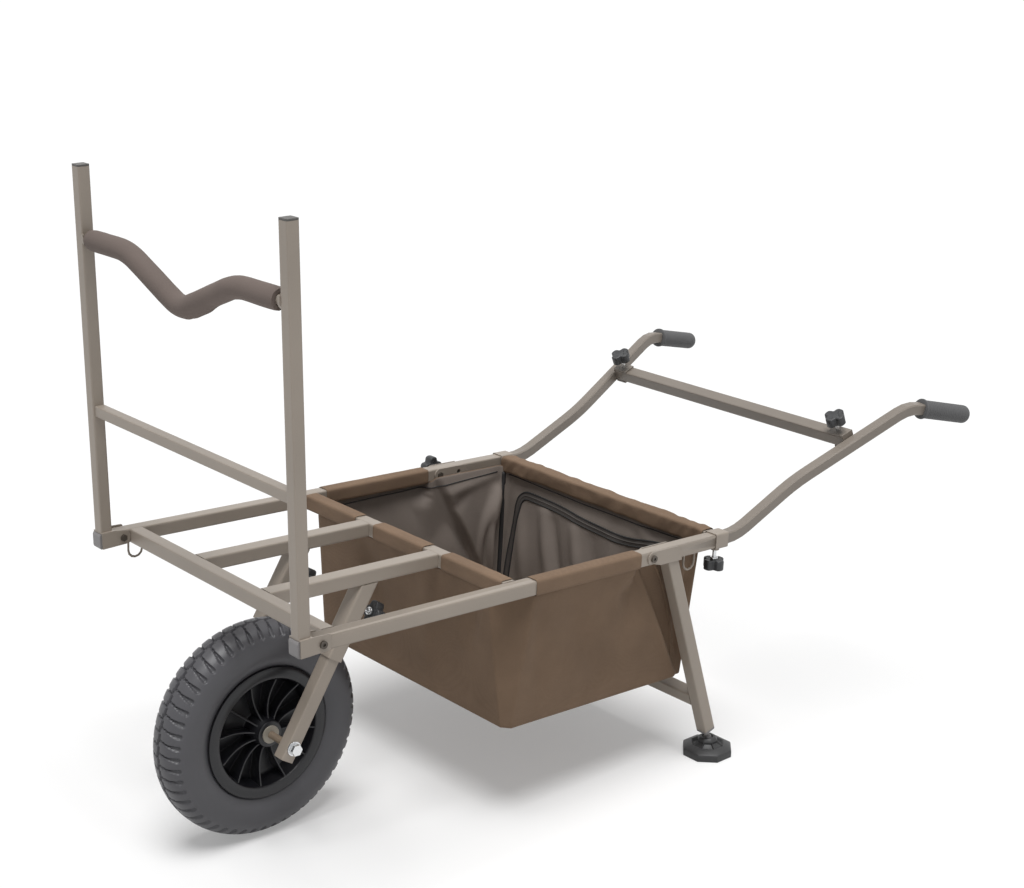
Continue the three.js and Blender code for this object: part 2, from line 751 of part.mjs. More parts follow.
function squarePlug(side, wall, headThickness, plugLength) {
  const head = new THREE.ExtrudeGeometry(squareShape(side, side), {
    depth: headThickness,
    bevelEnabled: false,
    curveSegments: 2,
  });
  const inside = side - 2 * (wall + seat);
  const plug = box(inside, inside, plugLength, [0, 0, -plugLength / 2 + headThickness / 2]);
  return join(head, plug);
}

function axleBolt() {
  const outside = innerRailX + forkLegSide / 2;
  const washer = outside + seat + washerThickness + seat;
  const shank = rod('x', axleRadius, -washer, washer + nutThickness, [0, 0, 0], ringSides);
  const head = rod('x', nutRadius, -washer - nutThickness, -washer, [0, 0, 0], hexSides);
  const nut = rod('x', nutRadius, washer, washer + nutThickness, [0, 0, 0], hexSides);
  return join(shank, head, nut);
}

function ring(outer, inner, from, to, segments = ringSides) {
  return turned([[from, inner], [to, inner], [to, outer], [from, outer], [from, inner]], segments);
}

// Gate pieces, in the gate's frame: origin on the pivot axis, +Z up the uprights
function gateShoe(side) {
  const height = shoePlateUnderside + shoeWall;
  const front = uprightFront + seat;
  const cheek = (from, to, tail) => plateAcrossX([[front, shoeBottom], ...tail, [front, height]], from, to);
  const corner = [shoeRear - shoeWall, height - shoeWall];
  const outerTail = [[shoeRear, shoeBottom], [shoeRear, railSide / 2], corner];
  const innerTail = arc(0, 0, crossTubeFront - gatePivotY - seat, -65, 65, 8);
  const plateEnd = [uprightFront + uprightSide + shoeWall, height];
  const place = side * (shoeOuter - shoeWall / 2);
  const outer = cheek(place - shoeWall / 2, place + shoeWall / 2, [...outerTail, plateEnd]);
  const inner = cheek(-place - shoeWall / 2, -place + shoeWall / 2, [...innerTail, plateEnd]);
  const length = uprightSide + shoeWall;
  const plate = box(2 * shoeOuter, length, shoeWall, [0, front + length / 2, height - shoeWall / 2]);
  const hole = rod('x', boltRadius + seat, -railSide, railSide, [0, 0, 0], holeSides);
  return cut(join(outer, inner, plate), hole);
}

function shoeCap() {
  const half = railSide / 2;
  const chamfer = shoeWall;
  const outline = [
    [shoeCapFace + shoeCapLength, shoeBottom],
    [shoeCapFace + shoeCapLength, shoePlateUnderside - seat],
    [uprightFront, shoePlateUnderside - seat],
    [shoeCapFace + chamfer, shoePlateUnderside - seat],
    [shoeCapFace, shoePlateUnderside - seat - 2 * chamfer],
    [shoeCapFace, shoeBottom + 2 * chamfer],
    [shoeCapFace + chamfer, shoeBottom],
  ];
  const rounded = plateAcrossX(outline, -half, half);
  const edge = 2 * chamfer;
  const bevels = [-1, 1].map((side) => {
    const wedge = box(edge, edge, railSide * 2, [0, 0, 0]).rotateZ(Math.PI / 4);
    return wedge.translate(side * (half + chamfer / 2), shoeCapFace - chamfer / 2, 0);
  });
  return cut(rounded, ...bevels);
}

// The upright is welded on its shoe and carries the cradle of the rod rest
function upright(side) {
  const to = uprightTop - uprightCapThickness - seat;
  const middle = uprightFront + uprightSide / 2;
  const post = tubeAlongZ(uprightSide, uprightWall, shoePlateUnderside, to, 0, middle);
  return join(gateShoe(side), post, restCradle(side)).translate(side * railCentreX, 0, 0);
}

function gateCrossTube() {
  const end = railCentreX - uprightSide / 2 - seat;
  const middle = uprightFront + uprightSide - gateTubeSide / 2;
  return tubeAlongX(gateTubeSide, uprightWall, -end, end, middle, gateTubeTop - gateTubeSide / 2);
}

function restPath(halfLength) {
  const y = uprightFront + uprightSide / 2;
  return bentPath(
    [
      new THREE.Vector3(-halfLength, y, restHeight),
      new THREE.Vector3(-restBendHalf, y, restHeight),
      new THREE.Vector3(0, y, restHeight - restDrop),
      new THREE.Vector3(restBendHalf, y, restHeight),
      new THREE.Vector3(halfLength, y, restHeight),
    ],
    [restBendLength, restBendLength, restBendLength],
  );
}

function restBar() {
  const end = railCentreX - uprightSide / 2 - seat;
  return swept(restPath(end), roundSection(restTubeRadius, holeSides), new THREE.Vector3(0, 1, 0));
}

function restFoam() {
  const up = new THREE.Vector3(0, 1, 0);
  const outer = swept(restPath(foamHalfLength), roundSection(foamRadius, foamSides), up);
  const bore = roundSection(restTubeRadius + 2 * seat, holeSides);
  return cut(outer, swept(restPath(foamHalfLength + overrun / 2), bore, up));
}

// An open-topped cradle that holds one end of the rod-rest bar against the upright
function restCradle(side) {
  const bore = restTubeRadius + seat;
  const outer = bore + cradleWall;
  const rise = bore;
  const outline = [...arc(0, 0, outer, -180, 0, holeSides), [outer, rise], [bore, rise]];
  outline.push(...arc(0, 0, bore, 0, -180, holeSides), [-bore, rise], [-outer, rise]);
  const wall = -side * (uprightSide / 2);
  const from = side > 0 ? wall - cradleLength : wall - uprightWall / 2;
  const geometry = plateAcrossX(outline, from, from + cradleLength + uprightWall / 2);
  return geometry.translate(0, uprightFront + uprightSide / 2, restHeight);
}

// Handles
function handlePoints(side) {
  const rise = Math.tan(handleRise);
  const kickX = (handleTopBend - handleKickBend) * Math.tan(handleKick);
  const topZ = railMid + (handleTopBend - handleFirstBend) * rise;
  const run = handleEnd - handleTopBend;
  return [
    [railCentreX, handleInnerEnd, railMid],
    [railCentreX, handleFirstBend, railMid],
    [railCentreX, handleKickBend, railMid + (handleKickBend - handleFirstBend) * rise],
    [railCentreX + kickX, handleTopBend, topZ],
    [railCentreX + kickX + run * Math.tan(gripSplay), handleEnd, topZ - run * Math.tan(gripFall)],
  ].map(([x, y, z]) => new THREE.Vector3(side * x, y, z));
}

function gripDirection(side) {
  const points = handlePoints(side);
  return points[4].clone().sub(points[3]).normalize();
}

// Turns a form along +Z to lie along the grip, with its far end at the handle's end
function alongGrip(geometry, side) {
  const direction = gripDirection(side);
  const turn = new THREE.Quaternion().setFromUnitVectors(new THREE.Vector3(0, 0, 1), direction);
  const end = handlePoints(side)[4];
  return geometry.applyMatrix4(new THREE.Matrix4().compose(end, turn, new THREE.Vector3(1, 1, 1)));
}

function handleTube(side) {
  const points = handlePoints(side);
  const flange = points[4].clone().addScaledVector(gripDirection(side), -gripLength - seat);
  const path = bentPath([...points.slice(0, 4), flange], handleBendLengths);
  const half = handleSide / 2;
  const flat = half - cornerShare * handleSide;
  const quarter = [[half, flat], [flat, half]];
  const turnBy = (x, y, turns) => [[x, y], [-y, x], [-x, -y], [y, -x]][turns];
  const section = [0, 1, 2, 3].flatMap((turns) => quarter.map(([x, y]) => turnBy(x, y, turns)));
  const inside = half - handleWall;
  const bore = [[inside, inside], [-inside, inside], [-inside, -inside], [inside, -inside]];
  const up = new THREE.Vector3(0, 0, 1);
  const hollow = path.map((point) => point.clone());
  hollow[0].y -= overrun;
  hollow[hollow.length - 1].addScaledVector(gripDirection(side), -handleWall);
  const square = cut(swept(path, section, up), swept(hollow, bore, up));
  const start = -gripLength - seat - handleWall / 2;
  const spigot = alongGrip(rod('z', spigotRadius, start, start + spigotLength, [0, 0, 0], holeSides), side);
  return join(square, spigot);
}

function grip(side) {
  const tip = gripRadius / 2;
  const profile = [[0, -gripLength], [gripFlangeRadius, -gripLength]];
  profile.push([gripFlangeRadius, gripFlangeThickness - gripLength]);
  const bodyLength = gripLength - gripFlangeThickness - tip;
  for (let i = 0; i < gripRingCount; i += 1) {
    const z = gripFlangeThickness - gripLength + (bodyLength * i) / gripRingCount;
    const ringLength = (bodyLength * gripRingShare) / gripRingCount;
    profile.push([gripRadius, z], [gripRadius - gripRingDepth, z + ringLength]);
  }
  profile.push([gripRadius, -tip], [gripRadius - tip / 3, -tip / 3], [gripRadius - tip, 0], [0, 0]);
  const points = profile.map(([radius, z]) => new THREE.Vector2(radius, z));
  const body = new THREE.LatheGeometry(points, gripSides).rotateX(Math.PI / 2);
  const boreEnd = seat + spigotLength - gripLength;
  const bore = rod('z', gripBore, -gripLength - overrun, boreEnd, [0, 0, 0], roundSides);
  return alongGrip(cut(body, bore), side);
}

// The brace between the handles and the clips that take its ends
function braceCentre() {
  const z = railMid + (braceY - handleFirstBend) * Math.tan(handleRise) + braceLift;
  const handleX = railCentreX + (braceY - handleKickBend) * Math.tan(handleKick);
  const splay = Math.atan(Math.tan(handleKick) * Math.cos(handleRise));
  const slant = (braceSide / 2) * Math.tan(splay);
  const end = handleX - handleSide / 2 / Math.cos(splay) - slant - 2 * seat - braceClipWall;
  return { y: braceY, z, handleX, splay, end };
}

function braceTube() {
  const { end } = braceCentre();
  const tubeBody = tubeAlongX(braceSide, railWall, -end, end, 0, 0);
  const inset = end - braceClipReach / 2;
  const holeAt = (x) => rod('z', knobStudRadius + seat, -braceSide, braceSide, [x, 0, 0], holeSides);
  const holes = [-inset, inset].map(holeAt);
  return cut(tubeBody, ...holes);
}

function braceClip(side) {
  const { handleX, splay, end } = braceCentre();
  const half = braceSide / 2 + seat;
  const web = end + seat;
  const wallEnd = handleX;
  const from = end - braceClipReach;
  const outline = [
    [from, half],
    [web, half],
    [web, -half],
    [from + braceClipReach / 3, -half],
    [from + braceClipReach / 3, -half - braceClipWall],
    [wallEnd, -half - braceClipWall],
    [wallEnd, half + braceClipWall],
    [from, half + braceClipWall],
  ];
  const shape = new THREE.Shape(outline.map(([x, z]) => new THREE.Vector2(side * x, z)));
  const depth = braceSide;
  const clip = new THREE.ExtrudeGeometry(shape, { depth, bevelEnabled: false });
  clip.rotateX(Math.PI / 2).translate(0, depth / 2, 0);
  const holeX = side * (end - braceClipReach / 2);
  const hole = rod('z', knobStudRadius + knobStudClearance, -2 * depth, 2 * depth, [holeX, 0, 0], holeSides);
  const handle = box(handleSide + 2 * seat, 4 * depth, 4 * depth, [0, 0, 0]).rotateZ(-side * splay);
  return cut(clip, hole, handle.translate(side * handleX, 0, 0));
}

// Rear legs, in the frame of their pivot: origin on the pivot axis, level with the rail
function legBracket(side) {
  const inner = railSide / 2 + bracketClearance;
  const low = bracketUnderside;
  const rearTop = bracketNose;
  const outline = [...arc(0, 0, bracketNose, 90, 215, 10)];
  outline.push([bracketPlateStart, low], [bracketRear, low]);
  outline.push([bracketRear, low + bracketNose], [bracketRear - bracketNose, rearTop]);
  const outer = inner + bracketWall;
  const cheeks = [plateAcrossX(outline, inner, outer), plateAcrossX(outline, -outer, -inner)];
  const length = bracketRear - bracketPlateStart;
  const middle = bracketPlateStart + length / 2;
  const plate = box(2 * outer, length, bracketWall, [0, middle, low + bracketWall / 2]);
  const reach = railSide;
  const holeAt = (y) => rod('x', boltRadius + seat, -reach, reach, [0, y, 0], holeSides);
  const holes = [holeAt(0)];
  if (side < 0) {
    holes.push(holeAt(legHoleY));
    holes.push(rod('x', boltRadius + seat, -reach, 0, [0, legLockY, 0], holeSides));
  }
  return cut(join(plate, ...cheeks), ...holes).translate(side * railCentreX, 0, 0);
}

// A leg tube hangs from the bracket's plate; its top is cut level with the plate
function legTube(side) {
  const x = side * railCentreX;
  const above = legSide;
  const leg = tubeAlongZ(legSide, legWall, -legLength, above, 0, 0).rotateX(legRake);
  leg.translate(x, legTopBack, bracketUnderside - seat);
  const cutter = box(2 * legSide, 4 * legSide, 2 * above, [x, legTopBack, bracketUnderside - seat + above]);
  return cut(leg, cutter);
}

function onLeg(geometry, side, along) {
  geometry.rotateX(legRake);
  const y = legTopBack + along * Math.sin(legRake);
  return geometry.translate(side * railCentreX, y, bracketUnderside - seat - along * Math.cos(legRake));
}

function legBrace() {
  const end = railCentreX - legSide / 2 - seat;
  return onLeg(tubeAlongX(legSide, legWall, -end, end, 0, 0), 0, legBraceAlong);
}

// The plug in a leg's end, with the ball stud that the foot turns on
function legEndPlug(side) {
  const plug = squarePlug(legSide, legWall, plugHead, plugTail).rotateX(Math.PI);
  const reach = ballReach - seat;
  const profile = [[0, -reach - ballRadius]];
  for (let i = 1; i < ballStepCount; i += 1) {
    const angle = -Math.PI / 2 + (i * Math.PI) / ballStepCount;
    const point = [ballRadius * Math.cos(angle), ballRadius * Math.sin(angle) - reach];
    if (angle < 0 || point[0] > ballNeckRadius) profile.push(point);
  }
  profile.push([ballNeckRadius, -reach + ballRadius * Math.cos(Math.asin(ballNeckRadius / ballRadius))]);
  profile.push([ballNeckRadius, 0], [0, 0]);
  const points = profile.map(([r, z]) => new THREE.Vector2(r, z));
  const stud = new THREE.LatheGeometry(points, roundSides).rotateX(Math.PI / 2);
  return onLeg(join(plug, stud), side, legLength + seat);
}

// A mud foot, in its own frame with the ground at z = 0 under the ball
function mudFoot() {
  const profile = [
    [0, 0],
    [padRadius - padFootBevel, 0],
    [padRadius, padEdge / 2],
    [padRadius - padRimBevel, padEdge],
    [padHubRadius + padHubFlare, padEdge + padSlope],
    [padHubRadius, padHubTop - padHubBevel],
    [padHubRadius - padHubBevel, padHubTop],
    [0, padHubTop],
  ];
  const points = profile.map(([r, z]) => new THREE.Vector2(r, z));
  const disc = new THREE.LatheGeometry(points, padSides).rotateX(Math.PI / 2);
  disc.rotateZ(Math.PI / padSides);
  const pocketFrom = padHubRadius + padPocketFromHub;
  const pocketTo = padRadius - padPocketFromEdge;
  const pockets = Array.from({ length: padSides }, (_, i) => {
    const shape = new THREE.Shape([
      new THREE.Vector2(pocketFrom, -pocketFrom / 5),
      new THREE.Vector2(pocketTo, -pocketTo / 4),
      new THREE.Vector2(pocketTo, pocketTo / 4),
      new THREE.Vector2(pocketFrom, pocketFrom / 5),
    ]);
    const pocket = new THREE.ExtrudeGeometry(shape, { depth: padHubTop, bevelEnabled: false });
    return pocket.translate(0, 0, padEdge / 2).rotateZ(((i + 1 / 2) * 2 * Math.PI) / padSides);
  });
  const socketRadius = ballRadius + 2 * ballClearance;
  const socket = new THREE.SphereGeometry(socketRadius, gripSides, studSides).translate(0, 0, ballHeight);
  const mouthRadius = ballRadius - ballMouthTaper;
  const mouth = new THREE.CylinderGeometry(ballRadius, mouthRadius, ballRadius, gripSides);
  mouth.rotateX(Math.PI / 2);
  mouth.translate(0, 0, ballHeight + ballRadius);
  return cut(disc, ...pockets, socket, mouth);
}

// Assembly
function buildChassis(chassis) {
  for (const [label, side] of sides) {
    add(chassis, `side_rail_${label}`, sideRail(side), 'frame');
    add(chassis, `inner_rail_${label}`, innerRail(side), 'frame');
    add(chassis, `handle_socket_${label}`, handleSocket(side), 'frame');
    add(chassis, `fork_sleeve_${label}`, forkSleeve().translate(side * innerRailX, 0, 0), 'frame');
    const pivotTo = railSide / 2 + bracketClearance + bracketWall + seat;
    const legBolt = add(chassis, `leg_pivot_bolt_${label}`, crossBolt(side, -pivotTo, pivotTo), 'zinc');
    legBolt.position.set(side * railCentreX, legPivotY, railMid);
    const gateReach = shoeOuter + seat;
    const gateBolt = add(chassis, `gate_pivot_bolt_${label}`, crossBolt(side, -gateReach, gateReach), 'zinc');
    gateBolt.position.set(side * railCentreX, gatePivotY, railMid);
  }
  const railEnd = railInnerFace - seat;
  add(chassis, 'front_cross_tube', crossTube(crossTubeFront, railEnd), 'frame');
  add(chassis, 'bag_front_tube', crossTube(bagTubeFront, railEnd), 'frame');
  add(chassis, 'bag_rear_tube', crossTube(bagTubeRear, railCentreX - socketSide / 2 - seat), 'frame');
  add(chassis, 'bag', bag(), 'cloth');
}

function buildFork(fork) {
  for (const [label, side] of sides) {
    add(fork, `fork_leg_${label}`, forkLeg().translate(side * innerRailX, 0, 0), 'frame');
    const inside = hubHalfWidth + seat + bushFlangeThickness + seat;
    const legFace = innerRailX - forkLegSide / 2;
    const spacer = ring(spacerRadius, axleRadius + seat, inside, legFace - seat);
    if (side < 0) spacer.rotateZ(Math.PI);
    add(fork, `axle_spacer_${label}`, spacer, 'frame');
    const outside = legFace + forkLegSide + seat;
    const washer = ring(washerRadius, axleRadius + seat, outside, outside + washerThickness);
    if (side < 0) washer.rotateZ(Math.PI);
    add(fork, `axle_washer_${label}`, washer, 'zinc');
  }
  add(fork, 'axle_bolt', axleBolt(), 'zinc');
}

function buildWheel(wheel) {
  add(wheel, 'tyre', tyre(), 'tyre');
  add(wheel, 'wheel_rim', rim(), 'rim');
  for (const [label, side] of sides) add(wheel, `hub_bush_${label}`, bush(side), 'bush');
}

function buildGate(gate) {
  for (const [label, side] of sides) {
    const x = side * railCentreX;
    add(gate, `gate_shoe_cap_${label}`, shoeCap().translate(x, 0, 0), 'plug');
    add(gate, `gate_upright_${label}`, upright(side), 'frame');
    const cap = squarePlug(uprightSide, uprightWall, uprightCapThickness, uprightCapTail);
    cap.translate(x, uprightFront + uprightSide / 2, uprightTop - uprightCapThickness);
    add(gate, `upright_cap_${label}`, cap, 'plug');
  }
  add(gate, 'gate_cross_tube', gateCrossTube(), 'frame');
  add(gate, 'rod_rest_bar', restBar(), 'frame');
  add(gate, 'rod_rest_foam', restFoam(), 'foam');
}

function buildHandles(handles) {
  const { y, z, end } = braceCentre();
  const brace = new THREE.Group();
  brace.position.set(0, y, z);
  brace.rotation.x = handleRise;
  handles.add(brace);
  for (const [label, side] of sides) {
    add(handles, `handle_tube_${label}`, handleTube(side), 'frame');
    add(handles, `hand_grip_${label}`, grip(side), 'grip');
    add(brace, `brace_clip_${label}`, braceClip(side), 'frame');
    const face = braceSide / 2 + seat + braceClipWall;
    const place = [side * (end - braceClipReach / 2), 0, face];
    addKnob(brace, `brace_knob_${label}`, face + braceSide / 3, place, [0, 0, 0]);
  }
  add(brace, 'handle_brace', braceTube(), 'frame');
}

function buildLegs(legs) {
  for (const [label, side] of sides) {
    add(legs, `leg_bracket_${label}`, legBracket(side), 'frame');
    add(legs, `leg_tube_${label}`, legTube(side), 'frame');
    add(legs, `leg_end_plug_${label}`, legEndPlug(side), 'plug');
  }
  add(legs, 'leg_brace', legBrace(), 'frame');
  const lockFace = railCentreX + railSide / 2 + bracketClearance + bracketWall;
  const lockInside = bracketWall + bracketClearance - seat;
  addKnob(legs, 'leg_lock_knob', lockInside, [-lockFace, legLockY, 0], [0, -Math.PI / 2, 0]);
}

function buildKnobs(chassis) {
  const socketFace = railMid - socketSide / 2 - knobBossHeight;
  const socketInside = socketFace - (railMid - handleSide / 2);
  const sleeveFace = sleeveSide / 2 + knobBossHeight;
  for (const [label, side] of sides) {
    const place = [side * railCentreX, socketKnobY, socketFace];
    addKnob(chassis, `socket_knob_${label}`, -socketInside - seat, place, [Math.PI, 0, 0]);
    const y = forkKnobAlong * Math.sin(forkLean) + sleeveFace * Math.cos(forkLean);
    const z = forkKnobAlong * Math.cos(forkLean) - sleeveFace * Math.sin(forkLean);
    const inside = sleeveFace - forkLegSide / 2 - seat;
    const turn = [-Math.PI / 2 - forkLean, 0, 0];
    addKnob(chassis, `fork_knob_${label}`, inside, [side * innerRailX, y, z], turn);
  }
}

const trolley = new THREE.Group();
const chassis = new THREE.Group();
chassis.rotation.x = -bedPitch;
chassis.position.z = wheelRadius;
trolley.add(chassis);
buildChassis(chassis);
buildKnobs(chassis);

const fork = new THREE.Group();
fork.rotation.x = -forkLean;
chassis.add(fork);
buildFork(fork);

const wheel = new THREE.Group();
wheel.position.z = wheelRadius;
trolley.add(wheel);
buildWheel(wheel);

const gate = new THREE.Group();
gate.position.set(0, gatePivotY, railMid);
gate.rotation.x = gateLean;
chassis.add(gate);
buildGate(gate);

const handles = new THREE.Group();
chassis.add(handles);
buildHandles(handles);

const legs = new THREE.Group();
legs.position.set(0, legPivotY, railMid);
chassis.add(legs);
buildLegs(legs);

const footY = ballY * Math.cos(bedPitch) + ballZ * Math.sin(bedPitch);
for (const [label, side] of sides) {
  const foot = add(trolley, `mud_foot_${label}`, mudFoot(), 'knob');
  foot.position.set(side * railCentreX, footY, 0);
}

// The origin goes to the ground under the middle of the bounding box
trolley.updateMatrixWorld(true);
const bounds = new THREE.Box3().setFromObject(trolley, true);
trolley.position.set(0, -(bounds.min.y + bounds.max.y) / 2, -bounds.min.z);

export default trolley;
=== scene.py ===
import bpy
import math
from mathutils import Matrix, Quaternion, Vector, noise


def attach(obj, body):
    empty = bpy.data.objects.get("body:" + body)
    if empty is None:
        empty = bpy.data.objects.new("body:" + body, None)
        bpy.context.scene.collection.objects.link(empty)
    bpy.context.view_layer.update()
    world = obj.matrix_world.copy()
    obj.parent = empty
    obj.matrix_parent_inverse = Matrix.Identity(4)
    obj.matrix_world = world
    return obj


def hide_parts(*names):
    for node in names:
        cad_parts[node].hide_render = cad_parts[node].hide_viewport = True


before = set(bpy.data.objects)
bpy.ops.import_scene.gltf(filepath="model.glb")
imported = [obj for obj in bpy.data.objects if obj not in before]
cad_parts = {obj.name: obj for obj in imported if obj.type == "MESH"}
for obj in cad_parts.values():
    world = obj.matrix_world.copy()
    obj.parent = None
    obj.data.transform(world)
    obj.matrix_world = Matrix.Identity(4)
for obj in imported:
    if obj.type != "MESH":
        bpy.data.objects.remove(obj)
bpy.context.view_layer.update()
scene = bpy.context.scene
scene.view_settings.view_transform = "Standard"
print("frame loaded,", len(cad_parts), "nodes")

# the bed lies at a slight pitch about the wheel's axle; its sizes are in mm in the bed's own level frame
bed = {"pitch": 0.0449042, "axle": (0.0, -0.63205, 0.195), "railMid": 278.3, "railHalf": 12.7}
gate = {"pivot": (0.0, -0.71106, 0.47713), "turn": 0.00658}
bothSides = (("left", -1), ("right", 1))


def onBed(x, y, z):
    c, s = math.cos(bed["pitch"]), math.sin(bed["pitch"])
    return Vector((x, y * c + z * s, z * c - y * s)) / 1000 + Vector(bed["axle"])


def onGate(x, y, z):
    c, s = math.cos(gate["turn"]), math.sin(gate["turn"])
    return Vector((x, y * c - z * s, z * c + y * s)) / 1000 + Vector(gate["pivot"])


def addObject(name, data):
    thing = bpy.data.objects.new(name, data)
    scene.collection.objects.link(thing)
    return thing


# camera, from the photograph
shot = {
    "place": (2.50037, -2.23044, 1.63341),
    "right": (0.65393, 0.75646, 0.01234),
    "up": (-0.23413, 0.18684, 0.95408),
    "back": (0.71941, -0.62679, 0.29929),
    "lens": 65.47,
    "sensor": 36,
}
cameraData = bpy.data.cameras.new("photoCamera")
cameraData.lens = shot["lens"]
cameraData.sensor_width = shot["sensor"]
camera = addObject("photoCamera", cameraData)
axes = Matrix((shot["right"], shot["up"], shot["back"])).transposed().to_4x4()
camera.matrix_world = Matrix.Translation(Vector(shot["place"])) @ axes
scene.camera = camera
print("camera placed")


# material helpers
def setInputs(node, values):
    for key, value in values.items():
        node.inputs[key].default_value = value


def startMaterial(name, colour, roughness, metallic=0.0):
    material = bpy.data.materials.new(name)
    material.use_nodes = True
    tree = material.node_tree
    shader = tree.nodes["Principled BSDF"]
    setInputs(shader, {"Base Color": (*colour, 1), "Roughness": roughness, "Metallic": metallic})
    return material, tree, shader


def objectPlaces(tree, turn=(0, 0, 0)):
    places = tree.nodes.new("ShaderNodeTexCoord")
    mapping = tree.nodes.new("ShaderNodeMapping")
    setInputs(mapping, {"Rotation": turn})
    tree.links.new(places.outputs["Object"], mapping.inputs["Vector"])
    return mapping.outputs["Vector"]


def addNoise(tree, places, scale, detail=4.0):
    node = tree.nodes.new("ShaderNodeTexNoise")
    setInputs(node, {"Scale": scale, "Detail": detail, "Roughness": 0.55})
    tree.links.new(places, node.inputs["Vector"])
    return node.outputs["Fac"]


def spread(tree, value, fromLow, fromHigh, toLow, toHigh):
    node = tree.nodes.new("ShaderNodeMapRange")
    tree.links.new(value, node.inputs["Value"])
    setInputs(node, {"From Min": fromLow, "From Max": fromHigh, "To Min": toLow, "To Max": toHigh})
    return node.outputs["Result"]


def blendColours(tree, factor, first, second):
    node = tree.nodes.new("ShaderNodeMix")
    node.data_type = "RGBA"
    tree.links.new(factor, node.inputs["Factor"])
    for key, colour in (("A", first), ("B", second)):
        socket = [s for s in node.inputs if s.name == key and s.type == "RGBA"][0]
        socket.default_value = (*colour, 1)
    return [s for s in node.outputs if s.type == "RGBA"][0]


def calculate(tree, operation, first, second):
    node = tree.nodes.new("ShaderNodeMath")
    node.operation = operation
    for socket, value in zip(node.inputs, (first, second)):
        if isinstance(value, (int, float)):
            socket.default_value = value
        else:
            tree.links.new(value, socket)
    return node.outputs["Value"]


def roundedEdges(tree, radius):
    node = tree.nodes.new("ShaderNodeBevel")
    setInputs(node, {"Radius": radius})
    node.samples = 4
    return node.outputs["Normal"]


def addBump(tree, shader, height, strength, distance, normal=None):
    node = tree.nodes.new("ShaderNodeBump")
    setInputs(node, {"Strength": strength, "Distance": distance})
    tree.links.new(height, node.inputs["Height"])
    if normal is not None:
        tree.links.new(normal, node.inputs["Normal"])
    tree.links.new(node.outputs["Normal"], shader.inputs["Normal"])


def shade(colour, share):
    return tuple(min(1.0, value * share) for value in colour)


def mottle(tree, places, scale, detail, colour, vary):
    # the colour in soft clouds, a little darker and lighter by turns
    tone = spread(tree, addNoise(tree, places, scale, detail), 0.3, 0.7, 0, 1)
    return blendColours(tree, tone, shade(colour, 1 - vary), shade(colour, 1 + vary))


# what a plain look has unless its own line says otherwise
plainLook = {
    "metal": 0.0, "vary": 0.08, "cloudScale": 6, "cloudDetail": 5, "grainScale": 900, "grainDetail": 3,
    "glossSpread": 0.05, "bump": 0.15, "depth": 0.0002, "edge": None,
}
looks = {
    "powderCoat": {"colour": (0.345, 0.296, 0.248), "rough": 0.40, "vary": 0.05, "grainScale": 700,
                   "bump": 0.10, "edge": 0.0014},
    # the frame's powder coat darkened for the handles and brace: painted shade, since they carry the same paint
    # as the frame
    "handlePaintedShadeCoat": {"colour": (0.235, 0.203, 0.172), "rough": 0.42, "vary": 0.06, "grainScale": 700,
                   "bump": 0.10, "edge": 0.0014},
    "knobPlastic": {"colour": (0.030, 0.031, 0.033), "rough": 0.42, "vary": 0.15, "grainScale": 1400,
                    "bump": 0.2, "edge": 0.0008},
    "footPlastic": {"colour": (0.027, 0.027, 0.028), "rough": 0.5, "vary": 0.12, "grainScale": 1200,
                    "bump": 0.25, "edge": 0.0008},
    "zincSteel": {"colour": (0.66, 0.67, 0.68), "rough": 0.27, "metal": 1.0, "vary": 0.1, "grainScale": 500,
                  "bump": 0.06, "edge": 0.0005},
    "darkBolt": {"colour": (0.10, 0.085, 0.07), "rough": 0.4, "metal": 0.5, "vary": 0.15, "bump": 0.1,
                 "edge": 0.0004},
    "tyreRubber": {"colour": (0.068, 0.067, 0.074), "rough": 0.42, "vary": 0.1, "grainScale": 800,
                   "bump": 0.2, "edge": 0.0008},
    "rimPlastic": {"colour": (0.006, 0.006, 0.008), "rough": 0.36, "vary": 0.2, "bump": 0.05, "edge": 0.001},
    "bushPlastic": {"colour": (0.33, 0.30, 0.25), "rough": 0.5, "vary": 0.06, "edge": 0.0006},
    # the axle spacer carries the frame's powder coat; this colour is that coat as it looks in shade, painted
    # shade
    "spacerPaintedShadeCoat": {"colour": (0.24, 0.185, 0.135), "rough": 0.45, "edge": 0.0006},
    "gripRubber": {"colour": (0.108, 0.108, 0.110), "rough": 0.7, "vary": 0.1, "grainScale": 1100,
                   "bump": 0.3, "edge": 0.0006},
    "endCap": {"colour": (0.24, 0.23, 0.23), "rough": 0.5, "grainScale": 1200, "edge": 0.0008},
    "topCap": {"colour": (0.10, 0.095, 0.09), "rough": 0.5, "grainScale": 1200, "edge": 0.0008},
    "foamSkin": {"colour": (0.158, 0.125, 0.110), "rough": 0.88, "vary": 0.1, "grainScale": 420, "bump": 0.5,
                 "depth": 0.0006},
    "blackTape": {"colour": (0.018, 0.017, 0.017), "rough": 0.75, "vary": 0.2, "grainScale": 1500, "bump": 0.4},
    "zipTape": {"colour": (0.075, 0.066, 0.060), "rough": 0.7, "vary": 0.15, "grainScale": 1500, "bump": 0.4},
}


def makePlain(name, own):
    look = {**plainLook, **own}
    material, tree, shader = startMaterial(name, look["colour"], look["rough"], look["metal"])
    places = objectPlaces(tree)
    colour = mottle(tree, places, look["cloudScale"], look["cloudDetail"], look["colour"], look["vary"])
    tree.links.new(colour, shader.inputs["Base Color"])
    grain = addNoise(tree, places, look["grainScale"], look["grainDetail"])
    rough, change = look["rough"], look["glossSpread"]
    gloss = spread(tree, grain, 0.3, 0.7, rough - change, rough + change)
    tree.links.new(gloss, shader.inputs["Roughness"])
    normal = roundedEdges(tree, look["edge"]) if look["edge"] else None
    addBump(tree, shader, grain, look["bump"], look["depth"], normal)
    return material


materials = {name: makePlain(name, look) for name, look in looks.items()}

